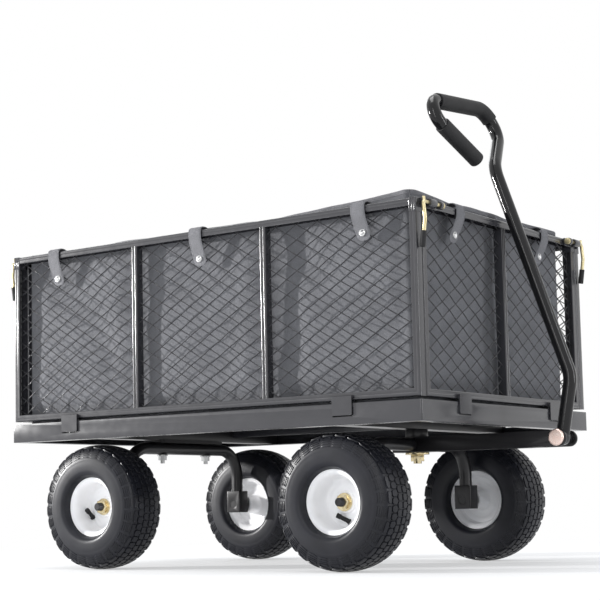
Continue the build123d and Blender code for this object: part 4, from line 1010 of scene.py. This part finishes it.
def handle():
    """The bent tube with its barrel, and the two grips."""
    def on_shaft(across, along):
        up = HANDLE_NECK + along * MM
        return KICK + Vector((-up * math.sin(HANDLE_LEAN), across * MM, up * math.cos(HANDLE_LEAN)))

    foot = Vector((PIN.x, 0, PIN.z))
    corners = [foot, KICK, on_shaft(0, 0)] + [on_shaft(*corner) for corner in LOOP]
    path, marks = filleted(corners, HANDLE_BENDS)
    half, face = 19.7, 18.9
    barrel = Shape().lathe(in_metres([(6.1, -half), (13.2, -half), (14, -face), (14, face), (13.2, half),
                                      (6.1, half)]), segments=64)
    shape = Shape().tube(path, HANDLE_R, sides=36).add(barrel.put(Matrix.Translation(foot)))
    shape.make("handle_tube_look", HANDLE_PAINT, "handle", "handle_gloss", ["handle_tube"], sharp=50.0)

    first = marks[5] + round((marks[6] - marks[5]) * 0.55)
    for number, line, round_end in ((1, path[first:marks[7] + 1], False), (2, path[marks[8]:], True)):
        points, radii = sleeve(line, round_end)
        Shape().tube(points, radii, sides=36).make("handle_grip_%d" % number, GRIP_RUBBER, "handle",
                                                   "grip_rubber", ["handle_grips"], sharp=50.0)


# a grip's edge as (mm in from its end, radius), rolled where it is open and domed where it is closed
OPEN_EDGE = ((0, HANDLE_R), (0.1, GRIP_R - 0.9 * MM), (0.5, GRIP_R - 0.25 * MM), (1.4, GRIP_R))
DOME = ([(1, GRIP_R)] + [(-3 * s, GRIP_R - 3 * MM * (1 - c)) for c, s in turns((0, 25, 50, 70, 90))]
        + [(-3.1, HANDLE_R * 0.5)])


def sleeve(line, round_end):
    """A grip's points and radii along its part of the tube."""
    lead, tail = (line[1] - line[0]).normalized() * MM, (line[-1] - line[-2]).normalized() * MM
    far_edge = DOME if round_end else tuple(reversed(OPEN_EDGE))
    points = [line[0] + lead * inward for inward, _ in OPEN_EDGE] + line[1:-1]
    points += [line[-1] - tail * inward for inward, _ in far_edge]
    radii = [r for _, r in OPEN_EDGE] + [GRIP_R] * (len(line) - 2) + [r for _, r in far_edge]
    return points, radii


# ---------------------------------------------------------------- build
for panel in PANELS:
    panel_frame(panel)
    diamond_wires(panel)
    for number, place in enumerate(panel.straps, 1):
        Strap(panel, place, number)

Wall(PANELS[0], 1.7, "front_right", "rear_right").build()
Wall(PANELS[1], 8.3, "rear_left", "front_left").build()
Wall(PANELS[2], 14.1, "front_left", "front_right").build()
Wall(PANELS[3], 21.9, "rear_right", "rear_left").build()
liner_floor()

# where each wheel's valve stands on the rim's disc, and which way it points, in the wheel's own place
VALVES = {"rear_right": ((38, -22), (-0.10, 0.80, 0.59)), "front_right": ((-5.5, -36.5), (0.71, 0.52, 0.47)),
          "rear_left": ((30, -12), (0, 1, 0)), "front_left": ((16, -27), (0, 1, 0))}
for wheel, valve in VALVES.items():
    tyre(wheel)
    rim(wheel, *valve)
handle()

# the CAD nodes whose shape stays: their finish, slot and edge rounding in mm
for material, slot, bevel, nodes in (
        (FRAME_PAINT, "bed_paint", 1.0, ("bed_side_rails", "bed_end_rails")),
        (FRAME_PAINT, "bed_paint", 0.8, ("stringers",)),
        (WIRE_PAINT, "mesh_wire", 0, ("deck_mesh",)),
        (FRAME_PAINT, "panel_paint", 0.5, ("front_panel_latch_guides", "rear_panel_latch_guides")),
        (FRAME_PAINT, "panel_paint", 0.6, ("right_panel_keepers", "left_panel_keepers")),
        (BLACK_PAINT, "black_steel", 0, ("rear_axle_arch", "front_axle_arch", "rear_stub_axles",
                                         "front_stub_axles")),
        (BLACK_PAINT, "black_steel", 0.5, ("kingpin_bush",)),
        (BLACK_PAINT, "black_steel", 0.6, ("rear_axle_feet", "front_axle_feet")),
        (BLACK_PAINT, "black_steel", 0.8, ("drawbar",)),
        (BLACK_PAINT, "black_steel", 1.2, ("cross_beams",)),
        (GREY_ZINC, "grey_zinc", 0.3, ("rear_axle_bolts",)),
        (YELLOW_ZINC, "yellow_zinc", 0.3, ("rear_axle_nuts", "front_axle_nuts", "drawbar_bolt", "kingpin")),
        (YELLOW_ZINC, "yellow_zinc", 0.4, ("kingpin_nut",)),
        (COPPER_ZINC, "copper_zinc", 0.3, ("handle_pin",)),
        (PALE_ZINC, "pale_zinc", 0.3, [corner + "_latch" for corner in VALVES]),
        (GRIP_RUBBER, "grip_rubber", 0.8, [corner + "_latch_sleeve" for corner in VALVES])):
    for node in nodes:
        dress(node, material, bevel * MM)


# ---------------------------------------------------------------- studio
FLOOR_GLOW = 0.45
FLOOR_SHADE_NEAR = 0.75
FLOOR_SHADE_FAR = 1.9


def calculate(tree, operation, first, second):
    """A maths node on two sockets."""
    node = add_node(tree, "Math", {"operation": operation})
    tree.links.new(first, node.inputs[0])
    tree.links.new(second, node.inputs[1])
    return node.outputs[0]


def mix_shaders(tree, share, usual, shown):
    """One shader, and for a share of it another."""
    mix = add_node(tree, "MixShader", Fac=share)
    tree.links.new(usual, mix.inputs[1])
    tree.links.new(shown, mix.inputs[2])
    return mix.outputs[0]


def seen_straight(tree):
    """1 for a ray that shows the background: from the camera, off gloss or through glass."""
    path = add_node(tree, "LightPath")
    share = path.outputs["Is Camera Ray"]
    for kind in ("Is Glossy Ray", "Is Transmission Ray"):
        share = calculate(tree, "MAXIMUM", share, path.outputs[kind])
    return share


def whiten(floor):
    """Let a floor look white away from the cart and keep the cart's shadow near it."""
    tree = floor.tree
    distance = add_node(tree, "VectorMath", {"operation": "LENGTH"}, Vector=floor.place)
    fade = add_node(tree, "MapRange", {"interpolation_type": "SMOOTHSTEP"}, Value=distance.outputs["Value"],
                    From_Min=FLOOR_SHADE_NEAR, From_Max=FLOOR_SHADE_FAR, To_Min=FLOOR_GLOW, To_Max=1.0)
    share = calculate(tree, "MULTIPLY", fade.outputs["Result"], seen_straight(tree))
    shown = mix_shaders(tree, share, floor.shader.outputs[0], add_node(tree, "Emission").outputs[0])
    tree.links.new(shown, tree.nodes["Material Output"].inputs["Surface"])


def studio():
    """A pale floor, a white surround and soft lights."""
    floor_mesh = bpy.data.meshes.new("studio_floor")
    floor_mesh.from_pydata([(-9, -9, 0), (9, -9, 0), (9, 9, 0), (-9, 9, 0)], [], [(0, 1, 2, 3)])
    floor = add_object("studio_floor", floor_mesh)
    pale = Finish("studio_pale", (0.93, 0.94, 0.955), 0.9)
    pale.mottle(1.5, 0.01)
    whiten(pale)
    floor_mesh.materials.append(pale.material)

    world = bpy.data.worlds.new("studio_world")
    bpy.context.scene.world = world
    world.use_nodes = True
    tree = world.node_tree
    tree.nodes.clear()
    fill_light = add_node(tree, "Background", Color=(0.93, 0.96, 1.0, 1), Strength=0.54)
    white = add_node(tree, "Background", Color=(1, 1, 1, 1), Strength=1.0)
    shown = mix_shaders(tree, seen_straight(tree), fill_light.outputs[0], white.outputs[0])
    tree.links.new(shown, add_node(tree, "OutputWorld").inputs["Surface"])

    middle_of_cart = Vector((0, 0, 0.40))
    for name, place, size, power, colour in (
            ("key", (-3.75, -2.0, 1.05), (0.15, 0.20), 215, (1.0, 0.99, 0.98)),
            ("near_strip", (0.75, -2.55, 1.12), (0.20, 2.1), 11, (1.0, 1.0, 1.0)),
            ("front_strip", (3.1, 0.7, 1.12), (0.24, 2.1), 24, (0.97, 0.98, 1.0)),
            ("overhead", (-0.3, -0.2, 4.2), (2.6, 1.8), 70, (1.0, 1.0, 1.0)),
            ("rim", (-3.2, 2.6, 2.2), (1.2, 2.0), 20, (0.95, 0.98, 1.0))):
        lamp = bpy.data.lights.new(name, "AREA")
        lamp.shape = "RECTANGLE"
        lamp.size, lamp.size_y = size
        lamp.energy, lamp.color = power, colour
        holder = add_object(name, lamp)
        holder.location = place
        holder.rotation_euler = (middle_of_cart - Vector(place)).to_track_quat("-Z", "Y").to_euler()


# the camera's place counts from the middle of the bed
CAMERA_PLACE = Vector((1.8909, -2.6673, 0.1240))
CAMERA_YAW = math.radians(36.987)
CAMERA_PITCH = math.radians(5.8315)
CAMERA_ROLL = math.radians(-1.0722)
CAMERA_LENS = 93.94
CAMERA_SHIFT = (0.0833, 0.0759)


def camera():
    """The photograph's view."""
    lens = bpy.data.cameras.new("camera")
    lens.lens = CAMERA_LENS
    lens.sensor_width = 36
    lens.shift_x, lens.shift_y = CAMERA_SHIFT
    holder = add_object("camera", lens)
    bed_x = middle("bed_side_rails").x
    holder.matrix_world = (Matrix.Translation(CAMERA_PLACE + Vector((bed_x, 0, 0)))
                           @ Matrix.Rotation(CAMERA_YAW, 4, "Z")
                           @ Matrix.Rotation(PI / 2 + CAMERA_PITCH, 4, "X")
                           @ Matrix.Rotation(CAMERA_ROLL, 4, "Z"))
    bpy.context.scene.camera = holder


studio()
camera()
bpy.context.scene.view_settings.view_transform = "Standard"
